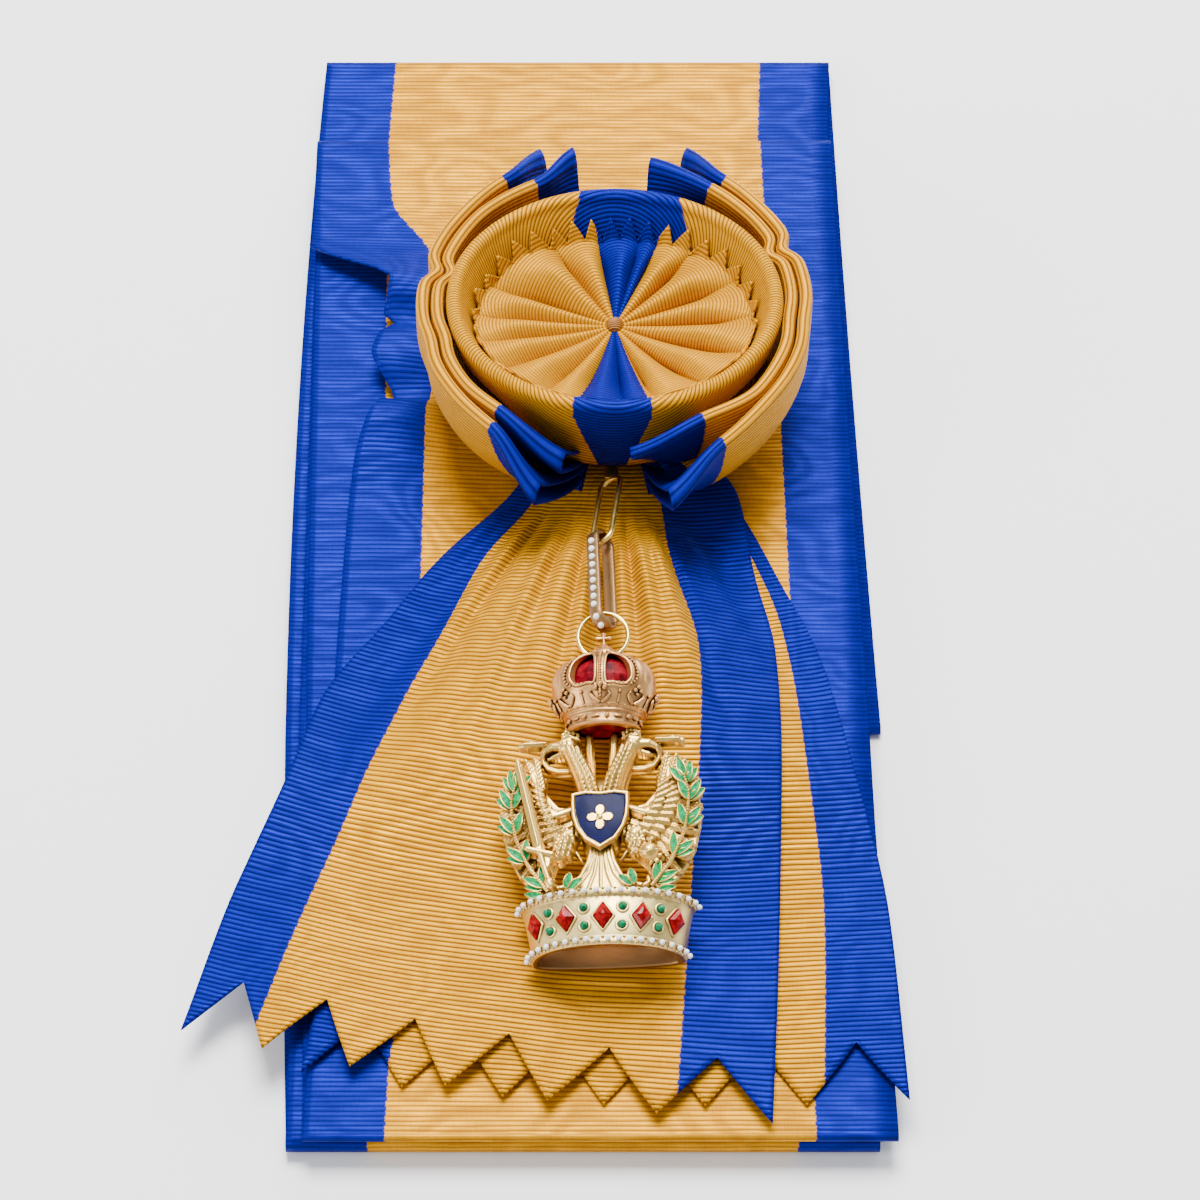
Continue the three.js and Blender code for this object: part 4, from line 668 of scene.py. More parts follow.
def build_loop(name, side, pile):
    stripes = [LOOP_STATIONS[1][0], LOOP_STATIONS[-2][0]]
    at = np.unique(np.concatenate([np.linspace(0, 1, LOOP_STEPS), stripes]))
    rims = np.concatenate([LOOP_STATIONS, LOOP_RIMS[name]], 1)
    foot, belly, azimuth, radius, height, mouth = table_at(rims, at)
    half = (LOOP_FOLD - SILK) / 2 * mouth
    solid_half = (LOOP_FOLD - CLOTH) / 2 * mouth
    dents = RIM_DENTS["left" if side < 0 else "right"]
    dent = sum(deep * np.exp(-(((azimuth - a) / w) ** 2)) for a, w, deep in dents)
    rim = radius * ROSETTE_RADIUS - dent
    top = height * ROSETTE_TOP - CLOTH / 2 - solid_half - 0.25
    chord = arc_length(np.stack([LOOP_OUT, LOOP_UP], 1))
    share = np.linspace(0, 1, 20)
    out = curve(chord / chord[-1], LOOP_OUT, share)
    up = curve(chord / chord[-1], LOOP_UP, share)
    over = np.linspace(0, math.pi, 9)[1:-1]
    rows = []
    for k in range(len(at)):

        def wall(order, edge):
            base = FOOT_HEIGHT + order * WALL_PITCH
            reach = lerp(lerp(0.35, 1, up), out, np.where(out < 0.6, 1, belly[k]))
            r = lerp(FOOT_END, edge, reach)
            z = lerp(base, top[k], up)
            turn = lerp(foot[k], azimuth[k], up**0.8)
            return np.stack([r, z, turn], 1)

        crest_r, crest_z = rim[k] + half[k] * np.cos(over), top[k] + half[k] * np.sin(over)
        crest = np.stack([crest_r, crest_z, np.full(len(over), azimuth[k])], 1)
        outside = wall(pile, rim[k] + half[k])
        inside = wall(pile + 1, rim[k] - half[k])[::-1]
        rows.append(np.concatenate([outside, crest, inside]))
    polar = np.array(rows)
    turn = np.radians(polar[..., 2])
    # Gathers near the knot, where the ribbon's whole width is drawn together
    gathers = 0.5 * np.sin(at * 2 * math.pi * 13)[:, None] * (1 - smooth(10, 30, polar[..., 0]))
    height_out = polar[..., 1] + gathers
    points = np.stack([side * polar[..., 0] * np.sin(turn), -polar[..., 0] * np.cos(turn), height_out], 2)
    length = arc_length(points[len(at) // 2])
    uv = np.stack(np.broadcast_arrays(at[:, None] * RIBBON, length), 2)
    solid = "bow_" + name
    cloth(solid + "_ribbon", points, uv, bow_silk, solid)


# Rosette ring and disc
def oval(half_length, half_depth, turn):
    return 1 / np.hypot(np.cos(turn) / half_length, np.sin(turn) / half_depth)


RING_PILE = 4.3
STEPS_PER_TOOTH = 8
WALL_STEPS = 12
# The ring's blue panels: middle and half width, from left to right
FRONT_PANEL = (-0.45, 7.15)
REAR_PANEL = (2.9, 9.45)
# The ring's cloth as a share of the round piece it opens out to
ROLL = (RING_ROLL - SILK) / 2


def lip_point(outer, turn, share):
    """Radius and height of the ring's inner wall, which leans inwards behind; share runs down from its top."""
    behind = (0.5 + 0.5 * np.sin(turn)) ** 1.3
    radius = outer - SILK / 2 - 2 * ROLL - 0.15 - lerp(0.5, 4.4, behind) * share
    height = ROSETTE_TOP - SILK / 2 - ROLL - lerp(4.2, 5.2, behind) * share**1.15
    return radius, height


def build_ring():
    turns = full_turn(LIP_TEETH * STEPS_PER_TOOTH)
    foot = FOOT_HEIGHT + RING_PILE * WALL_PITCH
    top = ROSETTE_TOP - SILK / 2
    outer = oval(RING_HALF_LENGTH, RING_HALF_DEPTH, turns) - SILK / 2
    phase = (np.arange(len(turns)) / STEPS_PER_TOOTH) % 1
    tooth = 1 - np.abs(2 * phase - 1)
    rows = []
    for k, turn in enumerate(turns):
        wall = np.linspace(0, 1, WALL_STEPS)
        tuck = lerp(1.0, 7.5, smooth(0.93, 0.5, -math.sin(turn)))
        wall_r = outer[k] - tuck * curve([0, 0.35, 0.75, 1], [1, 0.55, 0.08, 0], wall)
        wall_z = lerp(foot, top - ROLL, wall)
        crest = np.linspace(0, math.pi, 10)[1:-1]
        crest_r = outer[k] - ROLL + ROLL * np.cos(crest)
        crest_z = top - ROLL + ROLL * np.sin(crest)
        lip_r, lip_z = lip_point(outer[k] + SILK / 2, turn, np.linspace(0, lerp(0.98, 1.12, tooth[k]), 8))
        r = np.concatenate([[FOOT_END + 0.2, (FOOT_END + outer[k] - 7.5) / 2], wall_r, crest_r, lip_r])
        z = np.concatenate([[foot, foot], wall_z, crest_z, lip_z])
        rows.append(np.stack([r, z], 1))
    polar = np.array(rows)
    unrolled = np.array([arc_length(row) + FOOT_END for row in polar])
    x = polar[..., 0] * np.cos(turns)[:, None]
    y = polar[..., 0] * np.sin(turns)[:, None]
    points = np.stack([x, y, polar[..., 1]], 2)
    # The blue panels: a narrow one in front that tapers down, a wider one behind that spreads down the lip
    rim_r = outer[:, None] - 1.5
    crest_at = unrolled[:, [2 + WALL_STEPS]]
    inward = np.clip((rim_r - polar[..., 0]) / 6.0, 0, 1) * (unrolled > crest_at)
    low = np.clip((ROSETTE_TOP - 3 - polar[..., 1]) / 18.0, 0, 1) * (unrolled < crest_at)
    front = (x - FRONT_PANEL[0]) / FRONT_PANEL[1] / (1 - 0.75 * low)
    behind = (x - REAR_PANEL[0]) / (REAR_PANEL[1] * (1 + 0.28 * inward))
    mask = np.where(y < 0, front, behind) * STRIPE / 2
    ribs = unrolled * np.sin(turns)[:, None]
    uv = np.stack([mask, ribs], 2)
    uv = np.concatenate([uv, uv[:1]])
    cloth(
        "ring_ribbon", points, uv, rosette_silk, "rosette_ring", wrap=True,
    )


DISC_FOOT = ROSETTE_TOP - 9.5
# The disc's puffs: azimuth in degrees from +X of each crease, and how far the puff after it swells
DISC_CREASES = [
    (-71, 1.5), (-48, 2.3), (-23, 1.8), (-1, 1.5), (20, 2.0), (47, 1.5), (65.5, 0.7), (75, 1.7), (100, 1.3),
    (124, 3.0), (163, 1.7), (181, 1.5), (197, 1.9), (215, 2.2), (238, 1.3), (254, 1.5), (274, 1.4),
]
DISC_STEPS = 504
# Degrees from one tooth of its edge to the next
DISC_TOOTH = 10.0
# The disc's blue wedges: middle and half width in degrees
FRONT_WEDGE = (269, 16.5)
REAR_WEDGE = (82.5, 17.5)


def build_disc():
    turns = full_turn(DISC_STEPS)
    degrees = np.degrees(turns)
    shares = np.concatenate([np.linspace(0, 0.94, 34), [0.97, 1.0]])
    across_wall = oval(RING_HALF_LENGTH, RING_HALF_DEPTH, turns)
    behind = smooth(-0.55, 0.15, np.sin(turns))
    # The pinked edge: its teeth stand up along the ring's inner wall
    teeth = 1 - np.abs(2 * ((degrees / DISC_TOOTH + 0.3) % 1) - 1)
    creases = sorted((azimuth % 360, swell) for azimuth, swell in DISC_CREASES)
    azimuths = np.array([row[0] for row in creases])
    after = np.searchsorted(azimuths, degrees) % len(creases)
    high = azimuths[after] + np.where(azimuths[after] < degrees, 360, 0)
    low = azimuths[after - 1] - np.where(azimuths[after - 1] > degrees, 360, 0)
    swells = np.array([row[1] for row in creases])[after - 1]
    within = np.clip((degrees - low) / (high - low), 0, 1)
    rows = []
    for k, turn in enumerate(turns):
        # A puff is steep beside its crease and leans over it
        swell = math.sin(math.pi * within[k] ** 0.72) ** 0.75
        seat = lerp(0.3, 0.96 - 0.1 * (swell - 0.6) * swells[k], behind[k])
        rim_r, rim_z = lip_point(across_wall[k], turn, seat)
        off = lerp(0.6, 0.6 + 0.5 * swell, behind[k])
        r = lerp(KNOT_RADIUS * 0.45, rim_r - off, shares)
        bowl = lerp(DISC_FOOT, rim_z, shares ** lerp(1.7, 1.25, behind[k]))
        room = np.radians(high[k] - low[k]) * r
        fade = 1 - lerp(0.5, 1.0, behind[k]) * smooth(0.6, 1, shares)
        puff = np.minimum(room * 0.42, swells[k] * 1.45) * (swell - 0.6) * 1.6 * fade
        climb = np.linspace(0, 1, 6)[1:]
        rise = 0.64 * behind[k] * (0.03 + 0.97 * teeth[k])
        tooth_r, tooth_z = lip_point(across_wall[k], turn, seat - rise * climb)
        r = np.concatenate([r, tooth_r - lerp(off, 1.1, climb) + 0.02 * (1 - behind[k]) * climb])
        z = np.concatenate([bowl + puff + 0.3 * (1 - shares), tooth_z + 0.02 * climb])
        rows.append(np.stack([r * math.cos(turn), r * math.sin(turn), z], 1))
    points = np.array(rows)
    from_axis = np.minimum(np.abs(degrees - REAR_WEDGE[0]), np.abs(degrees - FRONT_WEDGE[0]))
    half_wedge = np.where(degrees > 180, FRONT_WEDGE[1], REAR_WEDGE[1])
    mask = from_axis / half_wedge * (STRIPE / 2)
    r = np.hypot(points[..., 0], points[..., 1])
    # The ribs bow outwards over each puff
    bow = 1.1 * (np.sin(np.pi * within) ** 0.8)[:, None] * smooth(2, 14, r)
    ribs = r - bow + 0.25 * np.abs(points[..., 2] - DISC_FOOT)
    uv = np.stack(np.broadcast_arrays(mask[:, None], ribs), 2)
    uv = np.concatenate([uv, uv[:1]])
    cloth(
        "disc_ribbon", points, uv, disc_silk, "rosette_disc", wrap=True,
    )


build_band()
build_tail("ribbon_tail_lower", LOWER_TAIL, 0, "tail_lower")
build_tail("ribbon_tail_upper", UPPER_TAIL, 1, "tail_upper")
build_loop("outer_left", -1, 0)
build_loop("outer_right", 1, 0)
build_loop("inner_left", -1, 2)
build_loop("inner_right", 1, 2)
build_ring()
build_disc()


# Metalwork
class Shape:
    """Collects the surfaces of one piece, each with the number of its material."""

    def __init__(self):
        self.points = []
        self.faces = []
        self.looks = []
        self.count = 0

    def add(self, points, faces, look=0):
        points = np.asarray(points, float).reshape(-1, 3)
        self.points.append(points)
        self.faces.extend([tuple(int(v) + self.count for v in face) for face in faces])
        if np.ndim(look) == 0:
            look = [look] * len(faces)
        self.looks.extend(int(v) for v in look)
        self.count += len(points)

    def grid(self, points, wrap=False, wrap_columns=False, look=0, keep=None):
        """A surface over rows and columns of points. keep leaves cells out; look may be one for each cell."""
        i, j, faces = grid_cells(*points.shape[:2], wrap, wrap_columns, keep)
        if np.ndim(look) == 2:
            look = look[i, j]
        self.add(points, faces, look)

    def tube(self, path, radii, sides=10, closed=False, up=(0, 0, 1), flat=1.0, look=0, section=None):
        """A rod along a path; section gives its outline as pairs across and up, in shares of the radius."""
        path = np.asarray(path, float)
        count = len(path)
        radii = np.broadcast_to(np.asarray(radii, float), (count,))
        if closed:
            along = np.roll(path, -1, 0) - np.roll(path, 1, 0)
        else:
            along = np.gradient(path, axis=0)
        along /= np.linalg.norm(along, axis=1)[:, None]
        across = np.cross(along, np.asarray(up, float))
        across /= np.linalg.norm(across, axis=1)[:, None]
        lift = np.cross(across, along)
        if section is None:
            turns = 2 * math.pi * (np.arange(sides) + 0.5) / sides
            section = np.stack([np.cos(turns), flat * np.sin(turns)], 1)
        section = np.asarray(section, float)
        spread = section[None, :, :1] * across[:, None] + section[None, :, 1:] * lift[:, None]
        points = path[:, None] + radii[:, None, None] * spread
        self.grid(points, wrap=closed, wrap_columns=True, look=look)
        if not closed:
            size = len(section)
            self.add(points[0], [tuple(range(size))], look)
            self.add(points[-1], [tuple(range(size))[::-1]], look)

    def ball(self, centre, radii, look=0, sides=12, rings=8):
        radii = np.broadcast_to(np.asarray(radii, float), (3,))
        down = np.linspace(0.001, math.pi - 0.001, rings + 1)[:, None]
        turn = full_turn(sides)
        x, y = np.sin(down) * np.cos(turn), np.sin(down) * np.sin(turn)
        unit = np.stack(np.broadcast_arrays(x, y, np.cos(down)), 2)
        self.grid(np.asarray(centre, float) + unit * radii, wrap_columns=True, look=look)

    def make(self, name, materials, nodes=(), place=None, weld=0.0):
        points = np.concatenate(self.points)
        mesh = bpy.data.meshes.new(name)
        mesh.from_pydata((points * MM).tolist(), [], self.faces)
        mesh.polygons.foreach_set("material_index", self.looks)
        if place is not None:
            mesh.transform(place)
        ob = make_object(name, mesh, materials)
        if weld:
            joint = ob.modifiers.new("weld", "WELD")
            joint.merge_threshold = weld * MM
        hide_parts(*nodes)
        return ob


def ring_of(spot, along, upward, radius, count):
    """Points round a spot, in the plane of two directions."""
    turns = full_turn(count)[:, None]
    return spot + (along * np.cos(turns) + upward * np.sin(turns)) * radius


def lozenge(spot, along, upward, width, height, steps):
    """Points along a lozenge's sides, that many on each."""
    corners = np.array([(width, 0), (0, height), (-width, 0), (0, -height)]) / 2
    outline = [lerp(corners[k - 1], corners[k], step / steps) for k in (1, 2, 3, 0) for step in range(steps)]
    return np.array([spot + along * u + upward * v for u, v in outline])


# The badge lies a little tilted, with its own axes: to the right, towards the cross and out of its face.
BADGE_FOOT = (-0.9, -125.8, 10.6)
BADGE_SLOPE = 8.0
BADGE_ROLL = 6.0
BADGE = (
    Matrix.Translation(Vector(BADGE_FOOT) * MM)
    @ Matrix.Rotation(math.radians(BADGE_SLOPE), 4, "X")
    @ Matrix.Rotation(math.radians(-BADGE_ROLL), 4, "Y")
)

CIRCLET_WIDTH = 30.6
CIRCLET_BOTTOM_WIDTH = 26.6
CIRCLET_DEPTH = 12.8
# How much of its depth lies behind its widest place
CIRCLET_BACK = 0.26
CIRCLET_HEIGHT = 10.4
PEARL = 1.05
PEARLS_PER_ROW = 20
PEARL_ROWS = {"top": CIRCLET_HEIGHT - 0.75, "bottom": 0.75}
PEARL_MARGIN = 0.04
LOZENGE_WIDTH = 3.4
LOZENGE_HEIGHT = 4.8
GREEN_STONE = 1.3
CROWN_WIDTH = 18.6
CROWN_DEPTH = 13.0
CROWN_HEIGHT = 14.4
CROWN_WALL = 1.0
CROWN_FOOT = 42.0
CROWN_MIDDLE = 6.6
CROWN_AXIS = -0.45
CAP_DIAMETER = 5.2
CAP_HEIGHT = 2.8
PLATE_LOW = 4.6
PLATE_THICKNESS = 2.0
EAGLE_AXIS = -0.95
LEAF_LENGTH = 4.3
LEAF_WIDTH = 1.6


def circlet_point(turn, width, inset):
    front = CIRCLET_DEPTH * (1 - CIRCLET_BACK) - inset
    back = CIRCLET_DEPTH * CIRCLET_BACK - inset
    s = np.sin(turn)
    depth = np.sign(s) * np.abs(s) ** np.where(s >= 0, 1, 0.55)
    x = (width / 2 - inset) * np.cos(turn)
    return x, CIRCLET_DEPTH * CIRCLET_BACK + np.where(depth >= 0, front, back) * depth


def circlet_width(share):
    return lerp(CIRCLET_BOTTOM_WIDTH, CIRCLET_WIDTH, share)


def circlet_seat(turn, y, out):
    """A place on the circlet's face, with its directions along the rim, upward and outward."""
    width = circlet_width(y / CIRCLET_HEIGHT)
    here = circlet_point(turn, width, 0)
    beside = circlet_point(turn + 0.02, width, 0)
    along = Vector((here[0] - beside[0], 0, here[1] - beside[1])).normalized()
    flare = (CIRCLET_WIDTH - CIRCLET_BOTTOM_WIDTH) / 2 / CIRCLET_HEIGHT
    upward = Vector((math.cos(turn) * flare, 1, 0)).normalized()
    outward = along.cross(upward).normalized()
    place = Vector((here[0], y, here[1])) + outward * out
    return np.array(place), np.array(along), np.array(upward), np.array(outward)


def front_turns(count, margin):
    turns = np.linspace(math.pi - margin, margin, 401)
    x, z = circlet_point(turns, circlet_width(0.5), 0)
    lengths = arc_length(np.stack([x, z], 1))
    return np.interp(np.linspace(0, lengths[-1], count), lengths, turns)


# Places along the circlet's front, counted from the left
STONE_PLACES = 13
STONE_TURNS = front_turns(STONE_PLACES, 0.3)
RED_PLACES = [1, 3.5, 6, 8.5, 11]
GREEN_PLACES = [2.25, 4.75, 7.25, 9.75]
GREEN_ROWS = [0.66, 0.34]
# How many rows of the circlet's profile run down its inside
INNER_ROWS = 7


def stone_seats(places, rows, out):
    """A seat for each stone, row by row at each place."""
    turns = np.interp(places, np.arange(STONE_PLACES), STONE_TURNS)
    return [circlet_seat(float(turn), CIRCLET_HEIGHT * row, out) for turn in turns for row in rows]


def build_circlet():
    shape = Shape()
    turns = full_turn(220)
    # Inset and height down the outside, over the rims and back up inside
    profile = [
        (0.30, 0.0), (0.05, 0.12), (0.0, 0.3), (0.0, 1.2), (0.10, 1.42), (0.34, 1.50), (0.40, 1.62),
        (0.35, 1.80), (0.35, 5.2), (0.35, 8.6), (0.40, 8.78), (0.34, 8.90), (0.10, 8.98), (0.0, 9.2),
        (0.0, 10.1), (0.05, 10.3), (0.30, 10.4), (0.9, 10.4), (1.15, 10.3), (1.2, 10.1), (1.2, 5.2),
        (1.2, 0.3), (1.15, 0.1), (0.9, 0.0),
    ]
    rows = []
    for inset, y in profile:
        x, z = circlet_point(turns, circlet_width(y / CIRCLET_HEIGHT), inset)
        rows.append(np.stack([x, np.full_like(x, y), z], 1))
    looks = np.zeros((len(profile), len(turns)), int)
    looks[-INNER_ROWS:] = 1
    shape.grid(np.array(rows), wrap=True, wrap_columns=True, look=looks)
    # Half-round seats between the beads of both rims
    for y in PEARL_ROWS.values():
        for turn in front_turns(PEARLS_PER_ROW * 2 - 1, PEARL_MARGIN):
            place, _, upward, _ = circlet_seat(turn, y, 0.08)
            for up in (-0.5, 0.5):
                shape.ball(place + upward * up, (0.30, 0.22, 0.26), 0, 8, 6)
    # Raised bezels round the stones
    for spot, along, upward, outward in stone_seats(RED_PLACES, [0.5], -0.28):
        path = lozenge(spot, along, upward, LOZENGE_WIDTH + 0.44, LOZENGE_HEIGHT + 0.60, 6)
        shape.tube(path, 0.26, 8, closed=True, up=outward)
    for spot, along, upward, outward in stone_seats(GREEN_PLACES, GREEN_ROWS, -0.30):
        shape.tube(ring_of(spot, along, upward, GREEN_STONE / 2 + 0.28, 18), 0.27, 8, closed=True, up=outward)
    shape.make("circlet", [circlet_gold, old_gold], ["iron_crown"], BADGE)


def build_pearls():
    for name, y in PEARL_ROWS.items():
        shape = Shape()
        for turn in front_turns(PEARLS_PER_ROW, PEARL_MARGIN):
            place, _, _, outward = circlet_seat(turn, y, PEARL / 2 + PIECE_GAP)
            shape.ball(place - outward * 0.16, PEARL / 2 * 0.95, 0, 14, 10)
        shape.make("pearls_" + name, [pearl], ["pearl_row_" + name], BADGE)


def build_stones():
    """Red lozenges with four bevels round a table, and round green stones in eight facets."""
    for k, (spot, along, upward, outward) in enumerate(stone_seats(RED_PLACES, [0.5], 0.05), 1):
        shape = Shape()
        rings = [
            lozenge(spot + outward * lift, along, upward, LOZENGE_WIDTH * share, LOZENGE_HEIGHT * share, 2)
            for share, lift in ((0.97, -0.3), (1.0, 0.30), (0.62, 0.78), (0.22, 0.98))
        ]
        shape.grid(np.array(rings), wrap_columns=True)
        shape.add([spot + outward, *rings[-1]], [(0, 1 + i, 1 + (i + 1) % 8) for i in range(8)])
        ob = shape.make(f"ruby_{k}", [ruby], [f"red_stone_{k}"], BADGE, weld=0.001)
        ob.data.polygons.foreach_set("use_smooth", [False] * len(ob.data.polygons))
    for k, (spot, along, upward, outward) in enumerate(stone_seats(GREEN_PLACES, GREEN_ROWS, 0.05), 1):
        shape = Shape()
        rings = [
            ring_of(spot + outward * lift, along, upward, GREEN_STONE / 2 * size, 16)
            for size, lift in ((0.97, -0.3), (1.0, 0.18), (0.8, 0.48), (0.45, 0.66), (0.05, 0.70))
        ]
        shape.grid(np.array(rings), wrap_columns=True)
        shape.make(f"emerald_{k}", [emerald], [f"green_stone_{k}"], BADGE)


SIDEWAYS = np.array((1, 0, 0))
OUTWARDS = np.array((0, 0, 1))
# The crown's outline: height and radius as shares of its own
CROWN_PROFILE = [
    (0, 0.62), (0.03, 0.66), (0.16, 0.70), (0.24, 0.83), (0.45, 0.97), (0.63, 1.0), (0.79, 0.92),
    (0.93, 0.66), (1, 0.3),
]
# The front openings' outline: sideways in millimetres and up as a share of the crown's height
CROWN_OPENING = [(0.9, 0.5), (1.0, 0.86), (2.4, 0.9), (4.6, 0.78), (5.3, 0.58), (4.2, 0.46), (2.2, 0.47)]
# Fleurons: round petals as turn aside, height and radius, and leaves as turn aside, height and lift
PETALS = [(0, 0.44, 0.62), (-0.085, 0.395, 0.55), (0.085, 0.395, 0.55), (0, 0.35, 0.42)]
FLEURON_LEAF = [(0.02, 0.235, 0.22), (0.12, 0.27, 0.36), (0.20, 0.33, 0.38), (0.17, 0.37, 0.28)]
# The ornaments round the crown's band: number, height and lift
BAND_ORNAMENTS = 20
BAND_UP = 0.092
BAND_OFF = 0.26
FLEURONS = 8


def smooth_outline(corners, count):
    """A closed smooth line through a few corners."""
    corners = np.array(corners, float)
    t = np.linspace(0, 1, count, endpoint=False)[:, None]
    out = []
    for k in range(len(corners)):
        p0, p1, p2, p3 = np.roll(corners, 1 - k, 0)[:4]
        square, cube = 2 * p0 - 5 * p1 + 4 * p2 - p3, 3 * p1 - p0 - 3 * p2 + p3
        out.append(0.5 * (2 * p1 + (p2 - p0) * t + square * t**2 + cube * t**3))
    return np.concatenate(out)


def inside_outline(x, y, outline):
    inside = np.zeros(np.shape(x), bool)
    for k in range(len(outline)):
        (x0, y0), (x1, y1) = outline[k - 1], outline[k]
        crosses = (y0 > y) != (y1 > y)
        inside ^= crosses & (x < (x1 - x0) * (y - y0) / (y1 - y0 + 1e-12) + x0)
    return inside


def distance_to_line(x, y, line, closed=True):
    best = np.full(np.shape(x), 1e9)
    for k in range(0 if closed else 1, len(line)):
        a, b = np.asarray(line[k - 1], float), np.asarray(line[k], float)
        ab = b - a
        t = np.clip(((x - a[0]) * ab[0] + (y - a[1]) * ab[1]) / max(ab @ ab, 1e-12), 0, 1)
        best = np.minimum(best, np.hypot(x - a[0] - t * ab[0], y - a[1] - t * ab[1]))
    return best


def crown_radius(up):
    return table_at(CROWN_PROFILE, up)[0] * CROWN_WIDTH / 2


def crown_place(radius, turn, height):
    """A place beside the crown's axis, at a height over its foot."""
    x = CROWN_AXIS + radius * np.cos(turn)
    z = CROWN_MIDDLE + radius * np.sin(turn) * CROWN_DEPTH / CROWN_WIDTH
    return np.stack(np.broadcast_arrays(x, CROWN_FOOT + height, z), -1)


def crown_point(turn, up, out=0.0):
    """A place on the crown's bulb, out millimetres off its surface."""
    return crown_place(crown_radius(up) + out, turn, np.asarray(up) * CROWN_HEIGHT)


def crown_turn(x, up):
    """The front azimuth at which the bulb lies x millimetres beside its middle."""
    return float(np.arccos(np.clip(x / crown_radius(up), -0.999, 0.999)))


def bump_at(v, middle, width):
    return np.exp(-(((v - middle) / width) ** 2))


def build_crown():
    shape = Shape()
    ups = np.concatenate([np.linspace(0, 0.26, 34), np.linspace(0.27, 1.0, 92)])
    T, W = np.meshgrid(full_turn(300), ups)
    radius = crown_radius(W)
    x = radius * np.cos(T)
    z = radius * np.sin(T)
    y = W * CROWN_HEIGHT
    out = np.zeros_like(x)
    # Band with two mouldings
    out += 0.45 * bump_at(W, 0.02, 0.016) + 0.42 * bump_at(W, 0.165, 0.016) + 0.22 * bump_at(W, 0.215, 0.014)
    # Arches: one in front, one behind and one on each side of the openings
    arch = np.exp(-((x / 0.95) ** 4)) * smooth(0.2, 0.3, W)
    out += 0.38 * arch * smooth(0.97, 0.9, W)
    opening = smooth_outline(CROWN_OPENING, 10) * (1, CROWN_HEIGHT)
    gap = distance_to_line(np.abs(x), y, opening)
    within = inside_outline(np.abs(x), y, opening) & (z > 0)
    rim = bump_at(gap, 0.45, 0.42) * (z > 0) * (np.abs(x) > 0.8)
    out += 0.30 * rim
    # Engraved panels on the bulb's sides
    side = np.abs(x) / np.maximum(radius, 1e-6)
    out += 0.10 * np.sin(side * 42) * smooth(0.62, 0.72, side) * smooth(0.5, 0.6, W) * smooth(0.92, 0.84, W)
    points = crown_place(radius + out, T, y)
    solid = ~within
    keep = solid[:-1] & solid[1:] & np.roll(solid, -1, 1)[:-1] & np.roll(solid, -1, 1)[1:]
    shape.grid(points, wrap_columns=True, keep=keep)
    wall_inset = CROWN_WALL * 1.2
    inner = crown_place(np.maximum(radius - wall_inset, 0.2), T, np.minimum(y, CROWN_HEIGHT - CROWN_WALL))
    shape.grid(inner[::-1], wrap_columns=True, keep=keep[::-1], look=1)
    # The openings' edges and the foot
    for sign in (1, -1):
        edge = [(crown_turn(px * sign, py / CROWN_HEIGHT), py / CROWN_HEIGHT) for px, py in opening]
        wall = [[crown_point(turn, up, 0.34), crown_point(turn, up, -wall_inset)] for turn, up in edge]
        shape.grid(np.array(wall), wrap=True)
        shape.tube([pair[0] for pair in wall], 0.26, 8, closed=True)
    shape.grid(np.stack([points[0], inner[0]], 0), wrap_columns=True)
    # Rows of beads over the arches
    for up in np.linspace(0.30, 0.955, 19):
        for back in (1, -1):
            shape.ball(crown_point(back * math.pi / 2, up, 0.62), 0.31, 0, 10, 7)
    outer = [p for p in opening if p[0] > 2.0 and p[1] > 0.47 * CROWN_HEIGHT]
    for sign in (1, -1):
        wider = [(x + 0.95 * (x - 2.6) / 2.7, y + 0.75 * (y / CROWN_HEIGHT - 0.62)) for x, y in outer]
        path = np.array(wider)
        lengths = arc_length(path)
        for at in np.arange(0, lengths[-1], 0.66):
            px, py = np.interp(at, lengths, path[:, 0]), np.interp(at, lengths, path[:, 1])
            up = min(py / CROWN_HEIGHT, 0.95)
            shape.ball(crown_point(crown_turn(px * sign, up), up, 0.36), 0.30, 0, 9, 6)
    # Band: bars and beads in turn
    for k in range(BAND_ORNAMENTS):
        turn = 2 * math.pi * (k + 0.5) / BAND_ORNAMENTS
        if k % 2 == 0:
            shape.ball(crown_point(turn, BAND_UP, BAND_OFF), 0.44, 0, 12, 8)
        else:
            bar = [crown_point(turn + d, BAND_UP, BAND_OFF) for d in np.linspace(-0.12, 0.12, 7)]
            shape.tube(bar, [0.16, 0.27, 0.3, 0.3, 0.3, 0.27, 0.16], 8, up=(0, 1, 0))
    # Fleurons: three round petals over two leaves, and a small ball between each two
    for k in range(FLEURONS):
        turn = 2 * math.pi * k / FLEURONS + math.pi / 2
        size = 1.0 if k % 2 == 0 else 0.8
        for aside, rise, r in PETALS:
            place = crown_point(turn + aside * size, rise * lerp(0.92, 1, size), 0.48)
            shape.ball(place, r * size * 0.9, 0, 10, 7)
        for s in (-1, 1):
            path = [crown_point(turn + s * aside, up, off) for aside, up, off in FLEURON_LEAF]
            shape.tube(path, [0.3, 0.38, 0.30, 0.15], 8, up=(0, 1, 0))
        between = turn + math.pi / FLEURONS
        stem = [crown_point(between, up, 0.24) for up in (0.235, 0.29, 0.335)]
        shape.tube(stem, [0.22, 0.2, 0.16], 8, up=(1, 0, 0))
        shape.ball(crown_point(between, 0.365, 0.30), 0.34, 0, 10, 7)
    # Scallops along the band's top
    for turn in full_turn(32):
        shape.ball(crown_point(turn, 0.215, 0.12), 0.26, 0, 8, 6)
    # Cap, orb and cross
    top = CROWN_FOOT + CROWN_HEIGHT - 0.2

    def cap_ring(radius, up, count):
        return ring_of((CROWN_AXIS, top + up, CROWN_MIDDLE), SIDEWAYS, OUTWARDS, radius, count)

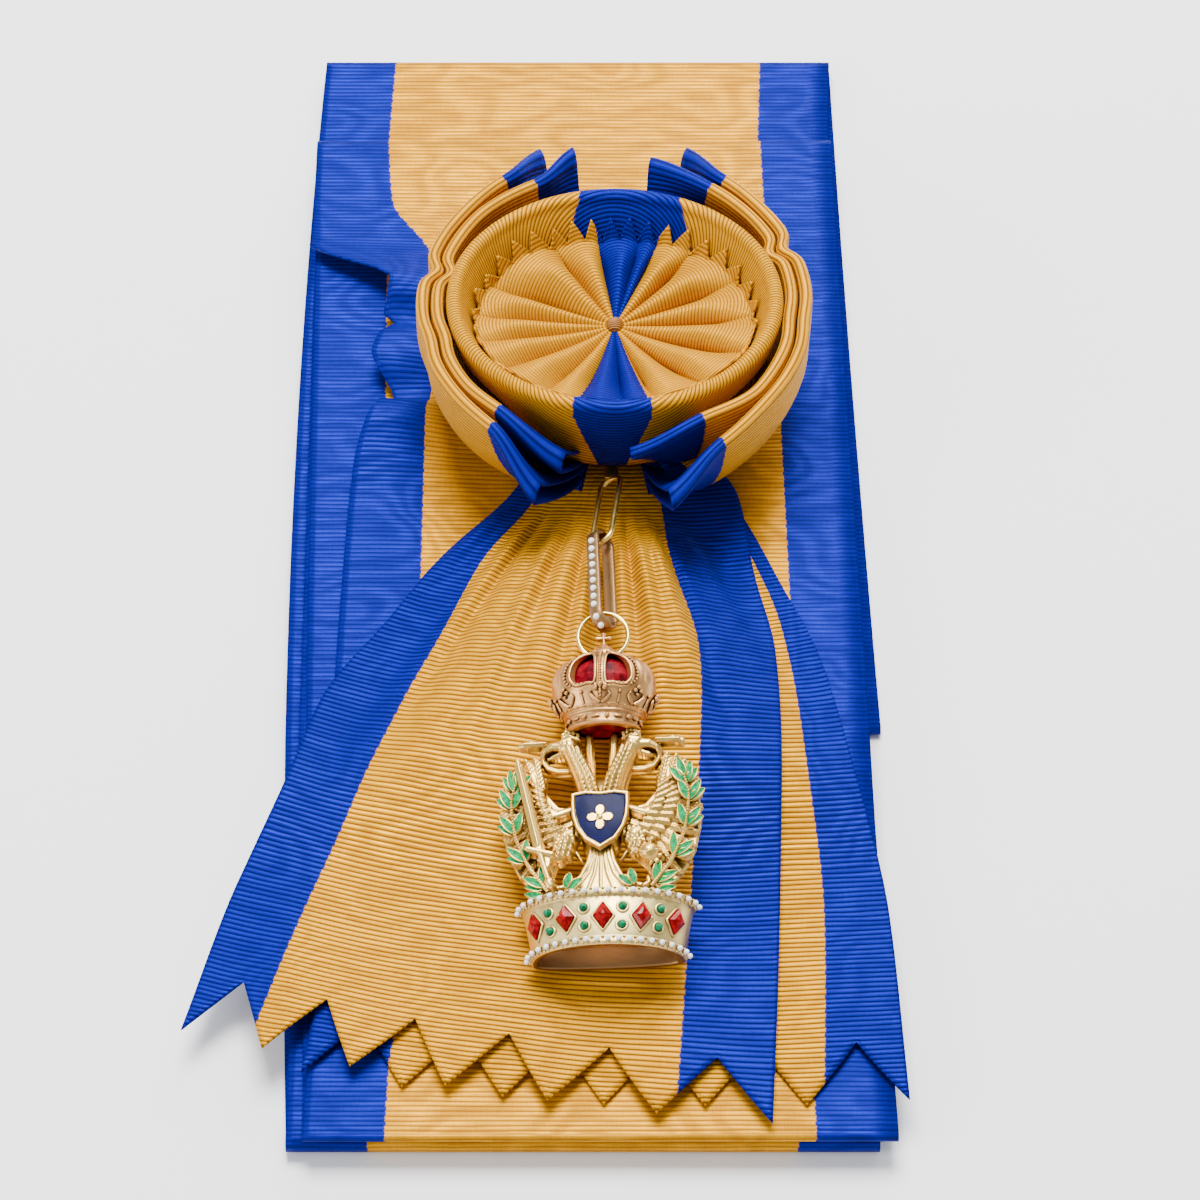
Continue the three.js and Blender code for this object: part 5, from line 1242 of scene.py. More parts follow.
    cap = [
        (0.05, -0.3), (0.9, -0.3), (1.0, 0.02), (1.0, 0.2), (0.9, 0.32), (0.78, 0.50), (0.55, 0.72),
        (0.3, 0.9), (0.12, 1.0),
    ]
    rows = [cap_ring(share * CAP_DIAMETER / 2, up * CAP_HEIGHT, 40) for share, up in cap]
    shape.grid(np.array(rows), wrap_columns=True)
    for place in cap_ring(CAP_DIAMETER / 2 - 0.12, 0.35, 20):
        shape.ball(place, 0.26, 0, 8, 6)
    foot = top + CAP_HEIGHT - 0.3
    shape.ball((CROWN_AXIS, foot + 0.25, CROWN_MIDDLE), 0.52, 0, 14, 10)
    for path, radii, up in (
        ([(0, 0.3), (0, 1.1), (0, 2.4)], [0.3, 0.26, 0.46], (1, 0, 0)),
        ([(-1.3, 1.5), (0, 1.5), (1.3, 1.5)], [0.46, 0.26, 0.46], (0, 1, 0)),
    ):
        shape.tube([(CROWN_AXIS + px, foot + py, CROWN_MIDDLE) for px, py in path], radii, 8, up=up)
    shape.make("crown", [copper_gold, old_gold], ["imperial_crown"], BADGE)


# Relief: a cast face over a grid of heights
GRAIN = 0.14


class Relief:
    """Heights over a flat region of the badge, built up from limbs, feathers and plates."""

    def __init__(self, low, high, step=GRAIN):
        across, along = (np.arange(low[k], high[k], step) for k in range(2))
        self.u, self.v = np.meshgrid(across, along, indexing="ij")
        self.height = np.full(self.u.shape, -1e3)

    def limb(self, rows, flat=1.0):
        """A rounded limb; rows are across, along, middle height and radius."""
        rows = np.array(rows, float)
        for a, b in zip(rows[:-1], rows[1:]):
            ab = b[:2] - a[:2]
            t = np.clip(((self.u - a[0]) * ab[0] + (self.v - a[1]) * ab[1]) / max(ab @ ab, 1e-9), 0, 1)
            d = np.hypot(self.u - a[0] - t * ab[0], self.v - a[1] - t * ab[1])
            r = lerp(a[3], b[3], t)
            dome = np.sqrt(np.clip(1 - (d / r) ** 2, 0, 1)) * r * flat + lerp(a[2], b[2], t)
            self.height = np.where(d < r, np.maximum(self.height, dome), self.height)

    def feather(self, root, tip, width, height, drop=0.5, ridge=0.22):
        """A feather: pointed oval, higher along its quill and at its root's side."""
        root, tip = np.array(root, float), np.array(tip, float)
        axis = tip - root
        length = np.hypot(*axis)
        axis /= length
        s = ((self.u - root[0]) * axis[0] + (self.v - root[1]) * axis[1]) / length
        c = (self.u - root[0]) * -axis[1] + (self.v - root[1]) * axis[0]
        half = width / 2 * np.clip(1 - np.clip((s - 0.72) / 0.28, 0, 1) ** 2.2, 0, 1) ** 0.5
        half = half * np.clip(s / 0.12 + 0.35, 0, 1)
        ok = (s > 0) & (s < 1) & (np.abs(c) < half)
        k = np.abs(c) / np.maximum(half, 1e-6)
        barbs = 0.05 * np.sin((s * length - np.abs(c) * 1.1) * 2 * math.pi / 0.75)
        round_top = 0.42 * np.sqrt(np.clip(1 - k**2, 0, 1)) + ridge * np.exp(-((c / 0.16) ** 2))
        top = height - drop * s + round_top + barbs
        self.height = np.where(ok, np.maximum(self.height, top), self.height)

    def plate(self, outline, height, edge=0.35):
        inside = inside_outline(self.u, self.v, outline)
        d = distance_to_line(self.u, self.v, outline)
        top = height - edge * (1 - np.clip(d / edge, 0, 1)) ** 2
        self.height = np.where(inside, np.maximum(self.height, top), self.height)

    def surface(self, shape, low, looks=None):
        """Adds the face, its back and its sides to a shape."""
        keep_point = self.height > low
        keep = keep_point[:-1, :-1] & keep_point[1:, :-1] & keep_point[:-1, 1:] & keep_point[1:, 1:]
        top = np.stack([self.u, self.v, np.maximum(self.height, low)], 2)
        back = np.stack([self.u, self.v, np.full_like(self.u, low)], 2)
        look = 0 if looks is None else looks[:-1, :-1]
        shape.grid(top, keep=keep, look=look)
        shape.grid(back, keep=keep)
        full = np.pad(keep, 1)
        columns = self.u.shape[1]
        points = np.concatenate([top.reshape(-1, 3), back.reshape(-1, 3)])
        total = self.u.size
        sides = []
        for di, dj, corners in (
            (-1, 0, ((0, 0), (0, 1))),
            (1, 0, ((1, 1), (1, 0))),
            (0, -1, ((1, 0), (0, 0))),
            (0, 1, ((0, 1), (1, 1))),
        ):
            open_side = keep & ~full[1 + di : full.shape[0] - 1 + di, 1 + dj : full.shape[1] - 1 + dj]
            i, j = np.nonzero(open_side)
            a = (i + corners[0][0]) * columns + j + corners[0][1]
            b = (i + corners[1][0]) * columns + j + corners[1][1]
            sides.append(np.stack([a, b, b + total, a + total], 1))
        sides = np.concatenate(sides)
        used = np.unique(sides)
        index = np.full(2 * total, -1)
        index[used] = np.arange(len(used))
        shape.add(points[used], index[sides].tolist())


WING = [
    (-3.5, 17), (-5.6, 21.5), (-5.8, 28.2), (-8.4, 28.6), (-10.6, 31.2), (-10.4, 34.0), (-11.6, 35.4),
    (-14, 35.6), (-17, 33.6), (-18.2, 29.5), (-18.3, 24), (-17.4, 19.6), (-15.4, 15.6), (-12.6, 12.2),
    (-10, 11.4), (-8.8, 13.2), (-9.8, 16.5), (-8.6, 19.0), (-6.6, 20.4),
]
# Flight feathers of one wing, from its top finger down: root and tip
FLIGHT = [
    ((-11.2, 30.5), (-12.7, 38.0)), ((-11.8, 30.2), (-14.3, 37.6)), ((-12.2, 29.6), (-15.8, 36.6)),
    ((-12.4, 28.8), (-17.1, 35.0)), ((-12.4, 27.9), (-18.1, 32.8)), ((-12.2, 27.0), (-18.6, 30.3)),
    ((-11.8, 26.1), (-18.7, 27.7)), ((-11.3, 25.2), (-18.5, 25.0)), ((-10.8, 24.4), (-18.0, 22.3)),
    ((-10.2, 23.6), (-17.2, 19.7)), ((-9.6, 23.0), (-16.1, 17.2)), ((-9.0, 22.4), (-14.7, 14.9)),
    ((-8.4, 21.9), (-13.1, 13.0)), ((-7.8, 21.4), (-11.4, 11.8)),
]
EAGLE_MIDDLE = PLATE_LOW + PLATE_THICKNESS / 2
WING_TOP = PLATE_LOW + 1.1
NECK = [
    (-2.9, 28.9, 0, 1.5), (-3.3, 31.0, 0.4, 1.75), (-4.0, 33.4, 0.8, 1.75), (-5.1, 36.0, 1.1, 1.6),
    (-6.2, 38.4, 1.3, 1.55),
]
CURL = [(-10.6, 39.8), (-11.2, 38.6), (-11.1, 37.0), (-10.2, 35.7), (-8.6, 35.1), (-6.8, 35.1), (-5.2, 35.4)]
# Limbs that both halves of the eagle have: how round they are, then places, each with its height over the
# eagle's middle plane and its radius
LIMBS = [
    # Bend of the wing
    (0.8, [
        (-5.6, 27.4, 1.3, 0.7), (-8.8, 26.2, 1.6, 0.8), (-11.2, 28.0, 1.6, 0.8), (-12.4, 31.6, 1.3, 0.7),
        (-12.8, 34.6, 0.8, 0.5),
    ]),
    # Neck, head, brow, eye and beak
    (1, NECK),
    (1, [(-6.5, 39.2, 1.3, 1.75), (-6.9, 39.1, 1.3, 1.6)]),
    (1, [(-6.2, 40.2, 2.4, 0.45), (-7.6, 39.9, 2.3, 0.5), (-8.4, 39.5, 2.0, 0.35)]),
    (1, [(-7.3, 39.35, 2.65, 0.34)] * 2),
    (1, [
        (-7.7, 39.3, 1.5, 1.05), (-9.3, 39.35, 1.5, 0.85), (-10.7, 38.7, 1.4, 0.5), (-11.1, 37.6, 1.3, 0.2),
    ]),
    (1, [(-7.6, 38.1, 1.2, 0.6), (-9.4, 37.5, 1.1, 0.44), (-10.1, 37.2, 1.0, 0.22)]),
    # Band of the small crown
    (1, [(-4.9, 40.6, 1.3, 0.42), (-6.3, 41.2, 1.5, 0.5), (-7.6, 40.9, 1.3, 0.4)]),
    # Ribbon: straight end, curl under the beak and back to the neck
    (0.8, [
        (-15.1, 40.0, 0.6, 0.62), (-13.4, 40.3, 0.9, 0.8), (-11.2, 40.1, 0.8, 0.62), (-9.6, 39.9, 0.3, 0.5),
    ]),
    (1, [(-14.6, 40.2, 1.4, 0.26), (-10.6, 40.3, 1.35, 0.2)]),
    (0.8, [(x, y, 0.3, 0.62) for x, y in CURL]),
    (1, [(x, y - 0.22, 0.75, 0.2) for x, y in CURL]),
    # Strap up to the imperial crown
    (0.9, [(-2.7, 32, -0.5, 0.8), (-2.9, 37, -0.4, 0.78), (-3.2, CROWN_FOOT - 0.35, -0.3, 0.78)]),
    (1, [(-2.6, 35, 0.25, 0.16), (-2.85, CROWN_FOOT - 0.5, 0.35, 0.16)]),
    # Thigh, shank and claws
    (1, [(-5.2, 24, 0.3, 1.2), (-6.9, 22.0, 0.8, 2.1), (-7.6, 19.8, 0.8, 1.8), (-8.2, 18.4, 1.2, 1.1)]),
    (1, [(-8.3, 18.3, 1.6, 0.8), (-9.6, 17.7, 2.4, 0.75), (-10.6, 17.4, 2.8, 0.6)]),
]
LIMBS += [
    (1, [(-9.8, 17.6, 2.8, 0.62), (x, y, 3.1, 0.48), (x + 0.3, y - 0.5, 2.9, 0.25)])
    for x, y in ((-11.2, 18.4), (-11.4, 17.4), (-10.9, 16.4), (-9.9, 16.2))
]
# Scalloped shoulder, in flat knobs
LIMBS += [
    (0.7, [(lerp(-12.2, -5.4, t), lerp(30.4, 27.3, t) - 1.9 * math.sin(math.pi * t), 1.5, 0.62)] * 2)
    for t in np.arange(7) / 6
]
# The small crown's points. Those that would touch the imperial crown are left out.
CROWN_POINTS = [
    (-5.0, 41.6, 0.4), (-5.7, 42.1, 0.42), (-6.4, 42.4, 0.5), (-7.1, 42.1, 0.42), (-7.6, 41.6, 0.36),
]
LIMBS += [
    (1, [(x, y - 0.5, 1.5, r * 0.8), (x, y, 1.5, r)])
    for x, y, r in CROWN_POINTS
    if y < CROWN_FOOT - 0.15 or abs(x - EAGLE_AXIS) > 4.6
]
# Limbs that lie once in the middle or on one side only
SINGLE_LIMBS = [
    # Breast and belly behind the shield
    (0.6, [(EAGLE_AXIS, 29.5, -1.2, 4.6), (EAGLE_AXIS, 21, -1.4, 3.4)]),
    # Sword across the left wing, with its hilt and pommel
    (0.75, [(-15.5, 36.6, 3, 0.25), (-15.1, 34.9, 3, 0.85), (-11.5, 19.4, 3, 1.0)]),
    (1, [(-15.2, 35.5, 3.66, 0.16), (-11.6, 20.0, 3.72, 0.2)]),
    (1, [(-13.5, 19.5, 3.3, 0.62), (-11.4, 18.9, 3.4, 0.55), (-9.3, 18.3, 3.3, 0.62)]),
    (1, [(-11.3, 18.6, 3.3, 0.6), (-9.9, 13.9, 3, 0.6)]),
    (1, [(-9.7, 13.2, 3, 0.95), (-9.5, 12.6, 3, 0.9)]),
    # Orb in the right talon, with a band, a hoop and a knob
    (1, [(7.6, 18.1, 3.1, 1.75)] * 2),
    (1, [(6.1, 18.0, 4.1, 0.3), (7.6, 17.7, 4.75, 0.34), (9.1, 18.1, 4, 0.3)]),
    (1, [(7.7, 17.9, 4.7, 0.28), (7.9, 19.7, 3.7, 0.3)]),
    (1, [(8.1, 20.3, 3.6, 0.55)] * 2),
]
# The tail's outline right of its axis, its rays, its edge and the curl at its corner
TAIL_SIDE = [(1.5, 20.5), (1.9, 17.4), (3.0, 14.9), (5.0, 13.2), (7.5, 12.3), (7.6, 7.2)]
TAIL_RAY = [(0.9, 21.0), (1.3, 18.4), (2.2, 15.6), (3.9, 13.2), (6.0, 11.0)]
TAIL_EDGE = [(1.6, 20.4), (2.2, 17.6), (3.5, 15.0), (5.4, 13.4), (8.0, 12.9)]
TAIL_CURL = [(7.4, 12.9), (8.4, 13.5), (8.2, 14.3)]
# Two rows of coverts: number, sideways and upward run, bow, reach out and up, width, height and drop
COVERTS = [
    (11, (-12.6, -7.4), (31.8, 21.6), 1.6, 2.9, (2.2, -1.6), 1.5, 1.5, 0.3),
    (9, (-10.9, -6.6), (30.6, 22.8), 0.9, 2.2, (1.6, -1.0), 1.35, 1.95, 0.25),
]
# Rows of feathers on the thigh: place and height
THIGH_ROWS = [(-6.3, 23.6, 2.1), (-7.0, 22.3, 2.6), (-7.4, 21.0, 2.5), (-7.8, 19.8, 2.2)]


def add_limbs(relief, limbs, mirror=lambda x: x):
    for flat, rows in limbs:
        relief.limb([(mirror(x), y, EAGLE_MIDDLE + up, r) for x, y, up, r in rows], flat)


def add_half_eagle(relief, side):
    """The wing, neck, head, ribbon, strap and leg of one side; the other one is its mirror image."""

    def mirror(x):
        return x if side > 0 else 2 * EAGLE_AXIS - x

    def feather(root, tip, *shape, **ways):
        relief.feather((mirror(root[0]), root[1]), (mirror(tip[0]), tip[1]), *shape, **ways)

    relief.plate([(mirror(x), y) for x, y in WING][::side], WING_TOP)
    for k, (root, tip) in enumerate(FLIGHT):
        feather(root, tip, 1.75, WING_TOP + 0.75 + 0.12 * (k % 2), drop=0.35)
    for count, across, along, bow, out, up, width, height, drop in COVERTS:
        for t in np.arange(count) / (count - 1):
            x, y = lerp(*across, t) - bow * math.sin(t * math.pi), lerp(*along, t)
            feather((x, y), (x - out, y + lerp(*up, t)), width, WING_TOP + height, drop=drop)
    # Rows of small feathers over the neck
    for t in np.linspace(0, len(NECK) - 1, 13):
        x, y, deep, r = (np.interp(t, range(len(NECK)), column) for column in zip(*NECK))
        for off in (-0.62, 0.0, 0.62):
            x0, y0 = x + off * r * 0.9 + 0.35, y - off * 0.25 + 0.5
            top = EAGLE_MIDDLE + deep + r * (1 - 0.42 * off**2) + 0.16
            feather((x0, y0), (x0 + 0.55, y0 - 1.75), 1.0, top, drop=-0.2, ridge=0.12)
    for x, y, up in THIGH_ROWS:
        for off in (-1.2, -0.4, 0.4, 1.2):
            top = EAGLE_MIDDLE + up - 0.28 * off**2
            feather((x + off, y), (x + off * 1.15, y - 1.6), 0.95, top, drop=0.1, ridge=0.08)
    add_limbs(relief, LIMBS, mirror)


def build_eagle():
    relief = Relief((-20.5, 5.6), (18.6, 44.2))
    add_half_eagle(relief, 1)
    add_half_eagle(relief, -1)
    add_limbs(relief, SINGLE_LIMBS)
    tail = [(-x, y) for x, y in TAIL_SIDE] + TAIL_SIDE[::-1]
    relief.plate([(x + EAGLE_AXIS, y) for x, y in tail], PLATE_LOW + PLATE_THICKNESS)
    for line, shares, up, r, flat in (
        (TAIL_RAY, (-1.0, -0.5, 0.0, 0.5, 1.0), 0.75, 0.42, 0.9),
        (TAIL_EDGE, (-1, 1), 0.7, 0.5, 0.9),
        (TAIL_CURL, (-1, 1), 0.9, 0.45, 1),
    ):
        for share in shares:
            add_limbs(relief, [(flat, [(EAGLE_AXIS + share * x, y, up, r) for x, y in line])])
    shape = Shape()
    relief.surface(shape, PLATE_LOW)
    shape.make("eagle_relief", [eagle_gold], ["eagle"], BADGE, weld=0.01)


SHIELD_CENTRE = np.array((EAGLE_AXIS, 24.8))
SHIELD_WIDTH = 10.2
SHIELD_HEIGHT = 11.2
SHIELD_LOW = PLATE_LOW + PLATE_THICKNESS / 2 + 1.6 + PIECE_GAP


def build_shield():
    w, h = SHIELD_WIDTH / 2, SHIELD_HEIGHT / 2
    right = [
        (0.0, 0.93), (0.5, 0.98), (1.0, 0.90), (1.0, 0.5), (0.97, 0.12), (0.84, -0.28), (0.55, -0.68),
        (0.0, -1.0),
    ]
    outline = [(x * w, y * h) for x, y in right] + [(-x * w, y * h) for x, y in right[-2:0:-1]]
    outline = np.array(outline) + SHIELD_CENTRE
    reach = np.array((w, h)) + 0.3
    relief = Relief(SHIELD_CENTRE - reach, SHIELD_CENTRE + reach, 0.09)
    inside = inside_outline(relief.u, relief.v, outline)
    d = distance_to_line(relief.u, relief.v, outline)
    rim = 1.25 - 0.45 * np.clip(1 - d / 0.3, 0, 1) ** 2 - 0.30 * np.clip((d - 0.55) / 0.25, 0, 1)
    x, y = relief.u - SHIELD_CENTRE[0], relief.v - SHIELD_CENTRE[1]
    enamel = 0.93 + 0.22 * (1 - np.clip((x / w) ** 2 + (y / h) ** 2, 0, 1))
    # A plain gilt ornament: four petals round a bead
    turn = np.arctan2(y - 0.3, x)
    r = np.hypot(x, y - 0.3)
    petals = r < 0.55 + 1.75 * np.abs(np.cos(2 * turn)) ** 0.8
    bead = r < 0.5
    height = np.where(d < 0.8, rim, enamel)
    height = np.where(petals, enamel + 0.14, height)
    height = np.where(bead, enamel + 0.14 + 0.3 * np.sqrt(np.clip(1 - (r / 0.5) ** 2, 0, 1)), height)
    relief.height = np.where(inside, SHIELD_LOW + height, -1e3)
    looks = np.where((d >= 0.72) & ~petals, 1, 0)
    shape = Shape()
    relief.surface(shape, SHIELD_LOW, looks)
    shape.make("shield_enamel", [eagle_gold, navy], ["shield"], BADGE, weld=0.01)


STEMS = {
    "left": [(-9.9, 11.6), (-13.7, 17.2), (-15.9, 23.2), (-16.4, 28.3), (-15.6, 32)],
    "right": [(8, 12), (11.8, 17.4), (14, 23.6), (14.5, 28.8), (13.7, 32.4)],
}
STEM_STEPS = 40
LEAF_NODES = [0.04, 0.26, 0.48, 0.7, 0.9]
WREATH_LOW = PLATE_LOW + PLATE_THICKNESS + 1.0


def leaf(shape, place, angle, length, width, base):
    """One enamel leaf in its gilt outline, with a groove down its middle."""
    along = np.linspace(0, 1, 17)
    across = np.array([-1, -1, -0.9, -0.8, -0.74, -0.4, -0.05, 0, 0.05, 0.4, 0.74, 0.8, 0.9, 1, 1])
    half = width / 2 * np.clip(np.sin(math.pi * along**0.82), 0, 1) ** 0.8 + 0.02
    s, t = np.meshgrid(along, across, indexing="ij")
    gilt = (np.abs(t) >= 0.79) | (s < 0.05) | (s > 0.95)
    bow = 0.35 * np.sin(math.pi * s)
    height = base + 0.55 + bow + np.where(gilt, 0.12, 0.0) - 0.10 * np.exp(-((t / 0.06) ** 2)) * ~gilt
    height[:, [0, -1]] = base + 0.1
    u = s * length
    v = t * half[:, None]
    x = place[0] + u * math.cos(angle) - v * math.sin(angle)
    y = place[1] + u * math.sin(angle) + v * math.cos(angle)
    cells = gilt[:-1, :-1] | gilt[1:, 1:] | gilt[1:, :-1] | gilt[:-1, 1:]
    shape.grid(np.stack([x, y, height], 2), look=np.where(cells, 0, 1))


def build_wreath(name):
    corners = np.array(STEMS[name], float)
    keys = np.linspace(0, 1, len(corners))
    fine = np.linspace(0, 1, STEM_STEPS)
    line = np.stack([curve(keys, column, fine) for column in corners.T], 1)

    def on_stem(at):
        return np.array([np.interp(at, fine, column) for column in line.T])

    shape = Shape()
    path = np.concatenate([line, np.full((STEM_STEPS, 1), WREATH_LOW + 0.9)], 1)
    shape.tube(path, np.linspace(0.42, 0.2, STEM_STEPS), 8)
    lengths = arc_length(path)
    for at in np.arange(0.3, lengths[-1], 0.52):
        x, y, z = (np.interp(at, lengths, column) for column in path.T)
        shape.ball((x, y, z + 0.22), 0.27, 0, 8, 6)
    outer = 1 if name == "left" else -1
    for at in LEAF_NODES + [0.97]:
        across, along = on_stem(min(at + 0.03, 1)) - on_stem(at - 0.03)
        heading = math.atan2(along, across)
        spread = [(27, 1.0, 0.22), (-27, 1.0, 0.0), (outer * 50, 0.82, -0.15)]
        if at > 0.95:
            spread = [(2, 0.95, 0.3)]
        for degrees, size, lift in spread:
            angle = heading + math.radians(degrees)
            leaf(shape, on_stem(at), angle, LEAF_LENGTH * size, LEAF_WIDTH, WREATH_LOW + lift)
    # Small leaves at the foot, lying on the circlet's edge and beside the tail
    for dx, dy, degrees, size in ((3.0, 0.6, 75, 0.72), (3.4, 0.5, 38, 0.72), (-0.6, -0.9, 168, 0.85)):
        angle = math.radians(degrees)
        if outer < 0:
            angle = math.pi - angle
        place = corners[0] + (outer * dx, dy)
        leaf(shape, place, angle, LEAF_LENGTH * size, LEAF_WIDTH * 0.95, WREATH_LOW - 0.1)
    shape.make("laurel_" + name, [eagle_gold, green], ["wreath_" + name], BADGE)


# Link, hook and jump ring
LINK_START = np.array((-2.7, -42.6, 22.6))
LINK_END = np.array((-2.0, -65.3, 26.0))
LINK_ROLL = math.radians(55)
LINK_WIDTH = 5.6
LINK_STRIP = 2.4
LINK_THICKNESS = 0.8
LINK_BEAD = 1.3
LINK_BEADS = 9
HOOK_WIRE = 1.0
LINK_PLAY = 0.5
RING_DIAMETER = 9.7
RING_WIRE = 0.8

link_length = float(np.linalg.norm(LINK_END - LINK_START))
link_along = (LINK_END - LINK_START) / link_length
link_across = np.array((-math.cos(LINK_ROLL), 0, math.sin(LINK_ROLL)))
link_across -= link_along * (link_across @ link_along)
link_across /= np.linalg.norm(link_across)
link_face = np.cross(link_along, link_across)
link_middle = (LINK_START + LINK_END) / 2


def rounded_loop(length, width, end_steps, straight_steps=6):
    radius = width / 2
    straight = length / 2 - radius
    points = []
    for end in (1, -1):
        for k in range(end_steps + 1):
            turn = math.pi * k / end_steps
            points.append((end * (straight + radius * math.sin(turn)), end * radius * math.cos(turn)))
        for k in range(1, straight_steps):
            points.append((lerp(end * straight, -end * straight, k / straight_steps), -end * radius))
    return np.array(points)


def build_link():
    loop = rounded_loop(link_length - LINK_THICKNESS, LINK_WIDTH - LINK_THICKNESS, 16)
    path = link_middle + loop[:, :1] * link_along + loop[:, 1:] * link_across
    shape = Shape()
    a, b, c = LINK_THICKNESS / 2, LINK_STRIP / 2, 0.14
    section = [(a - c, b), (a, b - c), (a, -b + c), (a - c, -b)]
    section += [(-x, y) for x, y in section[::-1]]
    shape.tube(path, 1.0, closed=True, up=link_face, section=section)
    pitch = (link_length - LINK_WIDTH) / LINK_BEADS
    places = [((k - (LINK_BEADS - 1) / 2) * pitch, LINK_WIDTH / 2) for k in range(LINK_BEADS)]
    straight = link_length / 2 - LINK_WIDTH / 2
    for turn in (0.62, 1.25):
        places.append((straight + LINK_WIDTH / 2 * math.sin(turn), LINK_WIDTH / 2 * math.cos(turn)))
    for u, v in places:
        centre = link_middle + link_along * u + link_across * v
        shape.ball(centre + link_across * 0.02, LINK_BEAD / 2 * 0.92, 1, 14, 10)
        # A low bezel round each bead
        away = np.array(link_across) if abs(u) < straight else (centre - link_middle - link_along * straight)
        away = away / np.linalg.norm(away)
        side = np.cross(away, link_face)
        ring = ring_of(centre - away * 0.1, side, link_face, LINK_BEAD / 2 + 0.05, 14)
        shape.tube(ring, 0.13, 6, closed=True, up=away)
    shape.make("bead_link", [old_gold, pearl], ["link"])


def build_hook():
    width = LINK_STRIP + 2 * (HOOK_WIRE + LINK_PLAY)
    bend = (width - HOOK_WIRE) / 2
    inside = bend - HOOK_WIRE / 2
    depth = LINK_THICKNESS + PIECE_GAP + bend - math.sqrt(inside**2 - (LINK_STRIP / 2) ** 2)
    seat = LINK_START + link_along * depth
    front = np.array((-0.6, -26.5, 17.2))
    back = np.array((0, -FOOT_END, 16.6))
    outwards = front - seat
    length = float(np.linalg.norm(outwards))
    outwards = outwards / length
    aside = link_face - outwards * (link_face @ outwards)
    aside /= np.linalg.norm(aside)
    centre = seat + outwards * length / 2
    loop = rounded_loop(length, 2 * bend, 16)
    path = centre + loop[:, :1] * outwards + loop[:, 1:] * aside
    shape = Shape()
    shape.tube(path, HOOK_WIRE / 2, 14, closed=True, up=np.cross(outwards, aside))
    half = 1.2
    section = [(-half, -0.5), (-half * 0.9, -0.6), (half * 0.9, -0.6), (half, -0.5)]
    section += [(x, -y) for x, y in section[::-1]]
    shape.tube([back, lerp(back, front, 0.5), front], 1.0, up=(0, 0, 1), section=section)
    shape.make("gilt_hook", [bright_gold], ["hook"])


RING_PLACE = (-0.55, 60.7, CROWN_MIDDLE)


def build_jump_ring():
    r = (RING_DIAMETER - RING_WIRE) / 2
    shape = Shape()
    shape.tube(ring_of(RING_PLACE, SIDEWAYS, np.array((0, 1, 0)), r, 72), RING_WIRE / 2, 14, closed=True)
    shape.make("round_ring", [ring_gold], ["jump_ring"], BADGE)


def build_knot():
    """The thread knot in the disc's middle: an upright barrel of wound thread."""
    centre = (0, 0, DISC_FOOT + 0.5)
    shape = Shape()
    shape.ball(centre, (1.35, 1.55, 1.15), 0, 24, 16)
    for k in range(7):
        y = lerp(-1.1, 1.1, k / 6)
        r = 1.36 * math.sqrt(max(1 - (y / 1.62) ** 2, 0.1))
        turns = full_turn(28)
        x, z = r * np.cos(turns), centre[2] + r * 0.82 * np.sin(turns)
        path = np.stack([x, y + 0.06 * np.sin(turns * 2), z], 1)
        shape.tube(path, 0.2, 8, closed=True, up=(0, 1, 0))
    shape.make("thread_knot", [thread], ["rosette_knot"])


build_circlet()
build_pearls()
build_stones()
build_crown()
build_eagle()
build_shield()
build_wreath("left")
build_wreath("right")
build_link()
build_hook()
build_jump_ring()
build_knot()

# Solids that keep their shape
NODE_LOOKS = {"knot_wrap": wrap_silk, "crown_lining": red_enamel}
for name, look in NODE_LOOKS.items():
    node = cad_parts[name]
    node.data.materials.clear()
    node.data.materials.append(look)


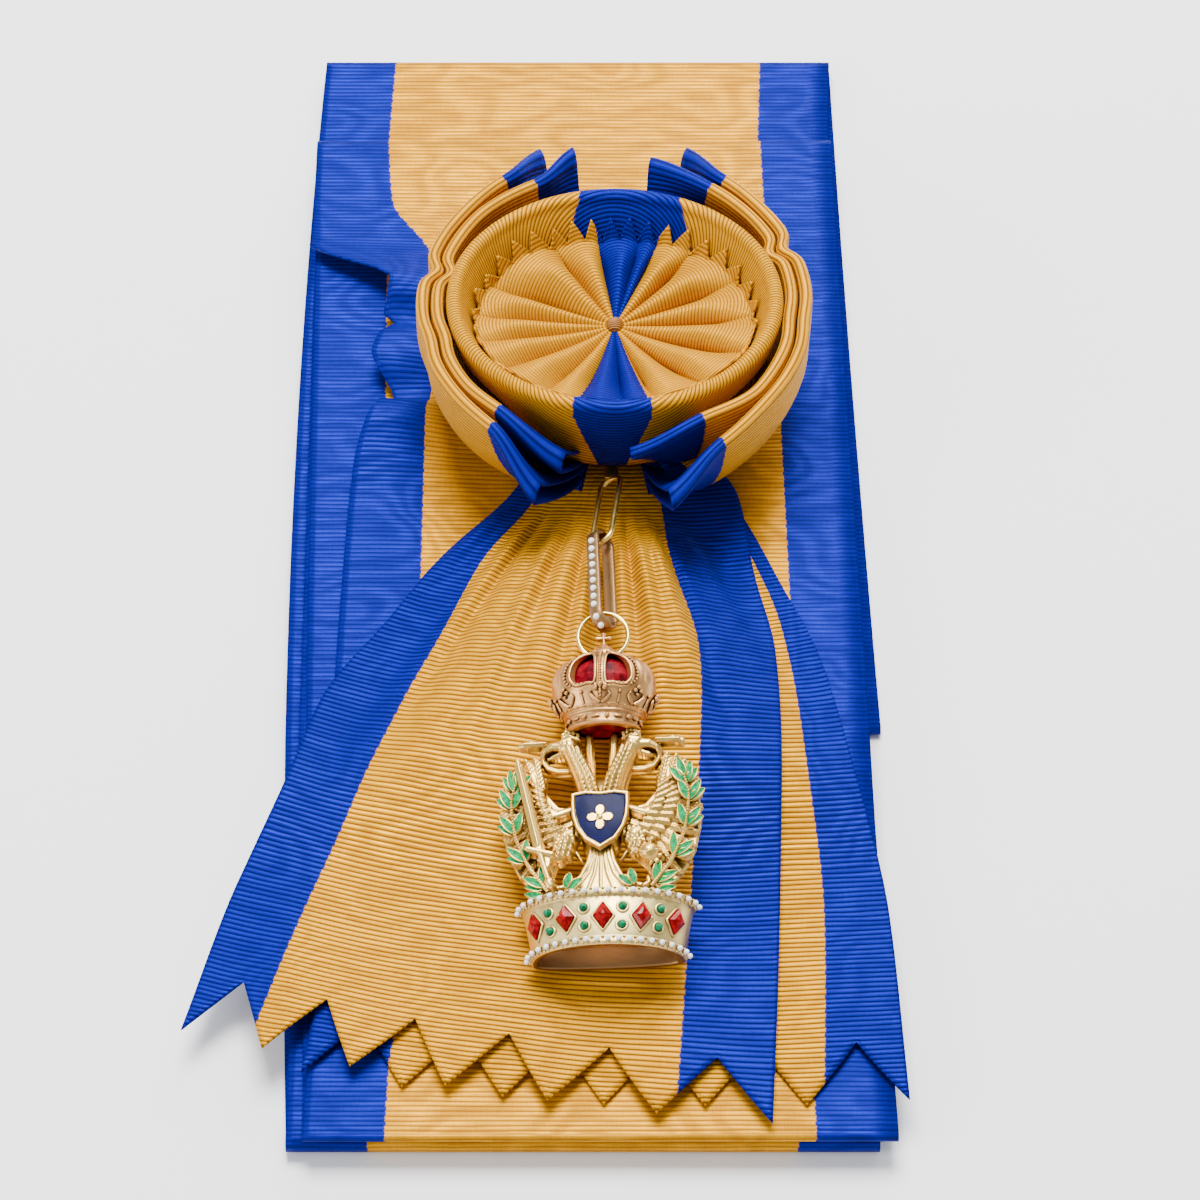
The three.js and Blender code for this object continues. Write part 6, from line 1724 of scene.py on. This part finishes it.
# Studio, in metres: a white floor, three soft lights, a pale sky and the photograph's camera
FLOOR_REACH = 3.0
CAMERA_TILT = 56.0
CAMERA_DISTANCE = 0.7915
CAMERA_LENS = 128.16
CAMERA_SENSOR = 36.0
LOOKS_AT = Vector((-0.0027, -0.0417, 0.0))
SKY = (0.95, 0.97, 1.0, 1)
SKY_STRENGTH = 0.6
# Lights: where each stands, what it points at, its size and its watts
LIGHTS = {
    "softbox_top": ((-0.05, 0.66, 1.45), (0, -0.03, 0), 0.8, 66.0),
    "softbox_back": ((0.5, 1.4, 0.85), (0, -0.03, 0.02), 0.7, 20.0),
    "softbox_left": ((-0.8, -0.45, 0.5), (0, -0.08, 0.02), 0.5, 6.5),
}


def build_floor():
    n = Nodes("white_paper")
    place = n.place()
    n.finish(
        Base_Color=n.mix(n.noise(place, 40.0), (0.94, 0.94, 0.95, 1), (0.96, 0.96, 0.97, 1)),
        Roughness=0.6,
        Normal=n.bump(n.noise(place, 900.0), 0.02 * MM, 0.2),
    )
    mesh = bpy.data.meshes.new("studio_floor")
    s = FLOOR_REACH
    mesh.from_pydata([(-s, -s, 0), (s, -s, 0), (s, s, 0), (-s, s, 0)], [], [(0, 1, 2, 3)])
    floor = put_in_scene("studio_floor", mesh)
    floor.data.materials.append(n.material)


def area_light(name, place, target, size, watts):
    data = bpy.data.lights.new(name, "AREA")
    data.energy = watts
    data.size = size
    light = put_in_scene(name, data)
    light.location = place
    direction = Vector(target) - Vector(place)
    light.rotation_euler = direction.to_track_quat("-Z", "Y").to_euler()


def build_camera():
    data = bpy.data.cameras.new("photo_camera")
    data.lens = CAMERA_LENS
    data.sensor_width = CAMERA_SENSOR
    camera = put_in_scene("photo_camera", data)
    tilt = math.radians(CAMERA_TILT)
    camera.location = LOOKS_AT + CAMERA_DISTANCE * Vector((0, -math.cos(tilt), math.sin(tilt)))
    camera.rotation_euler = Euler((math.pi / 2 - tilt, 0, 0))
    bpy.context.scene.camera = camera


def build_world():
    world = bpy.data.worlds.new("studio")
    world.use_nodes = True
    sky = world.node_tree.nodes["Background"]
    sky.inputs["Color"].default_value = SKY
    sky.inputs["Strength"].default_value = SKY_STRENGTH
    bpy.context.scene.world = world


build_floor()
build_camera()
build_world()
for name, settings in LIGHTS.items():
    area_light(name, *settings)
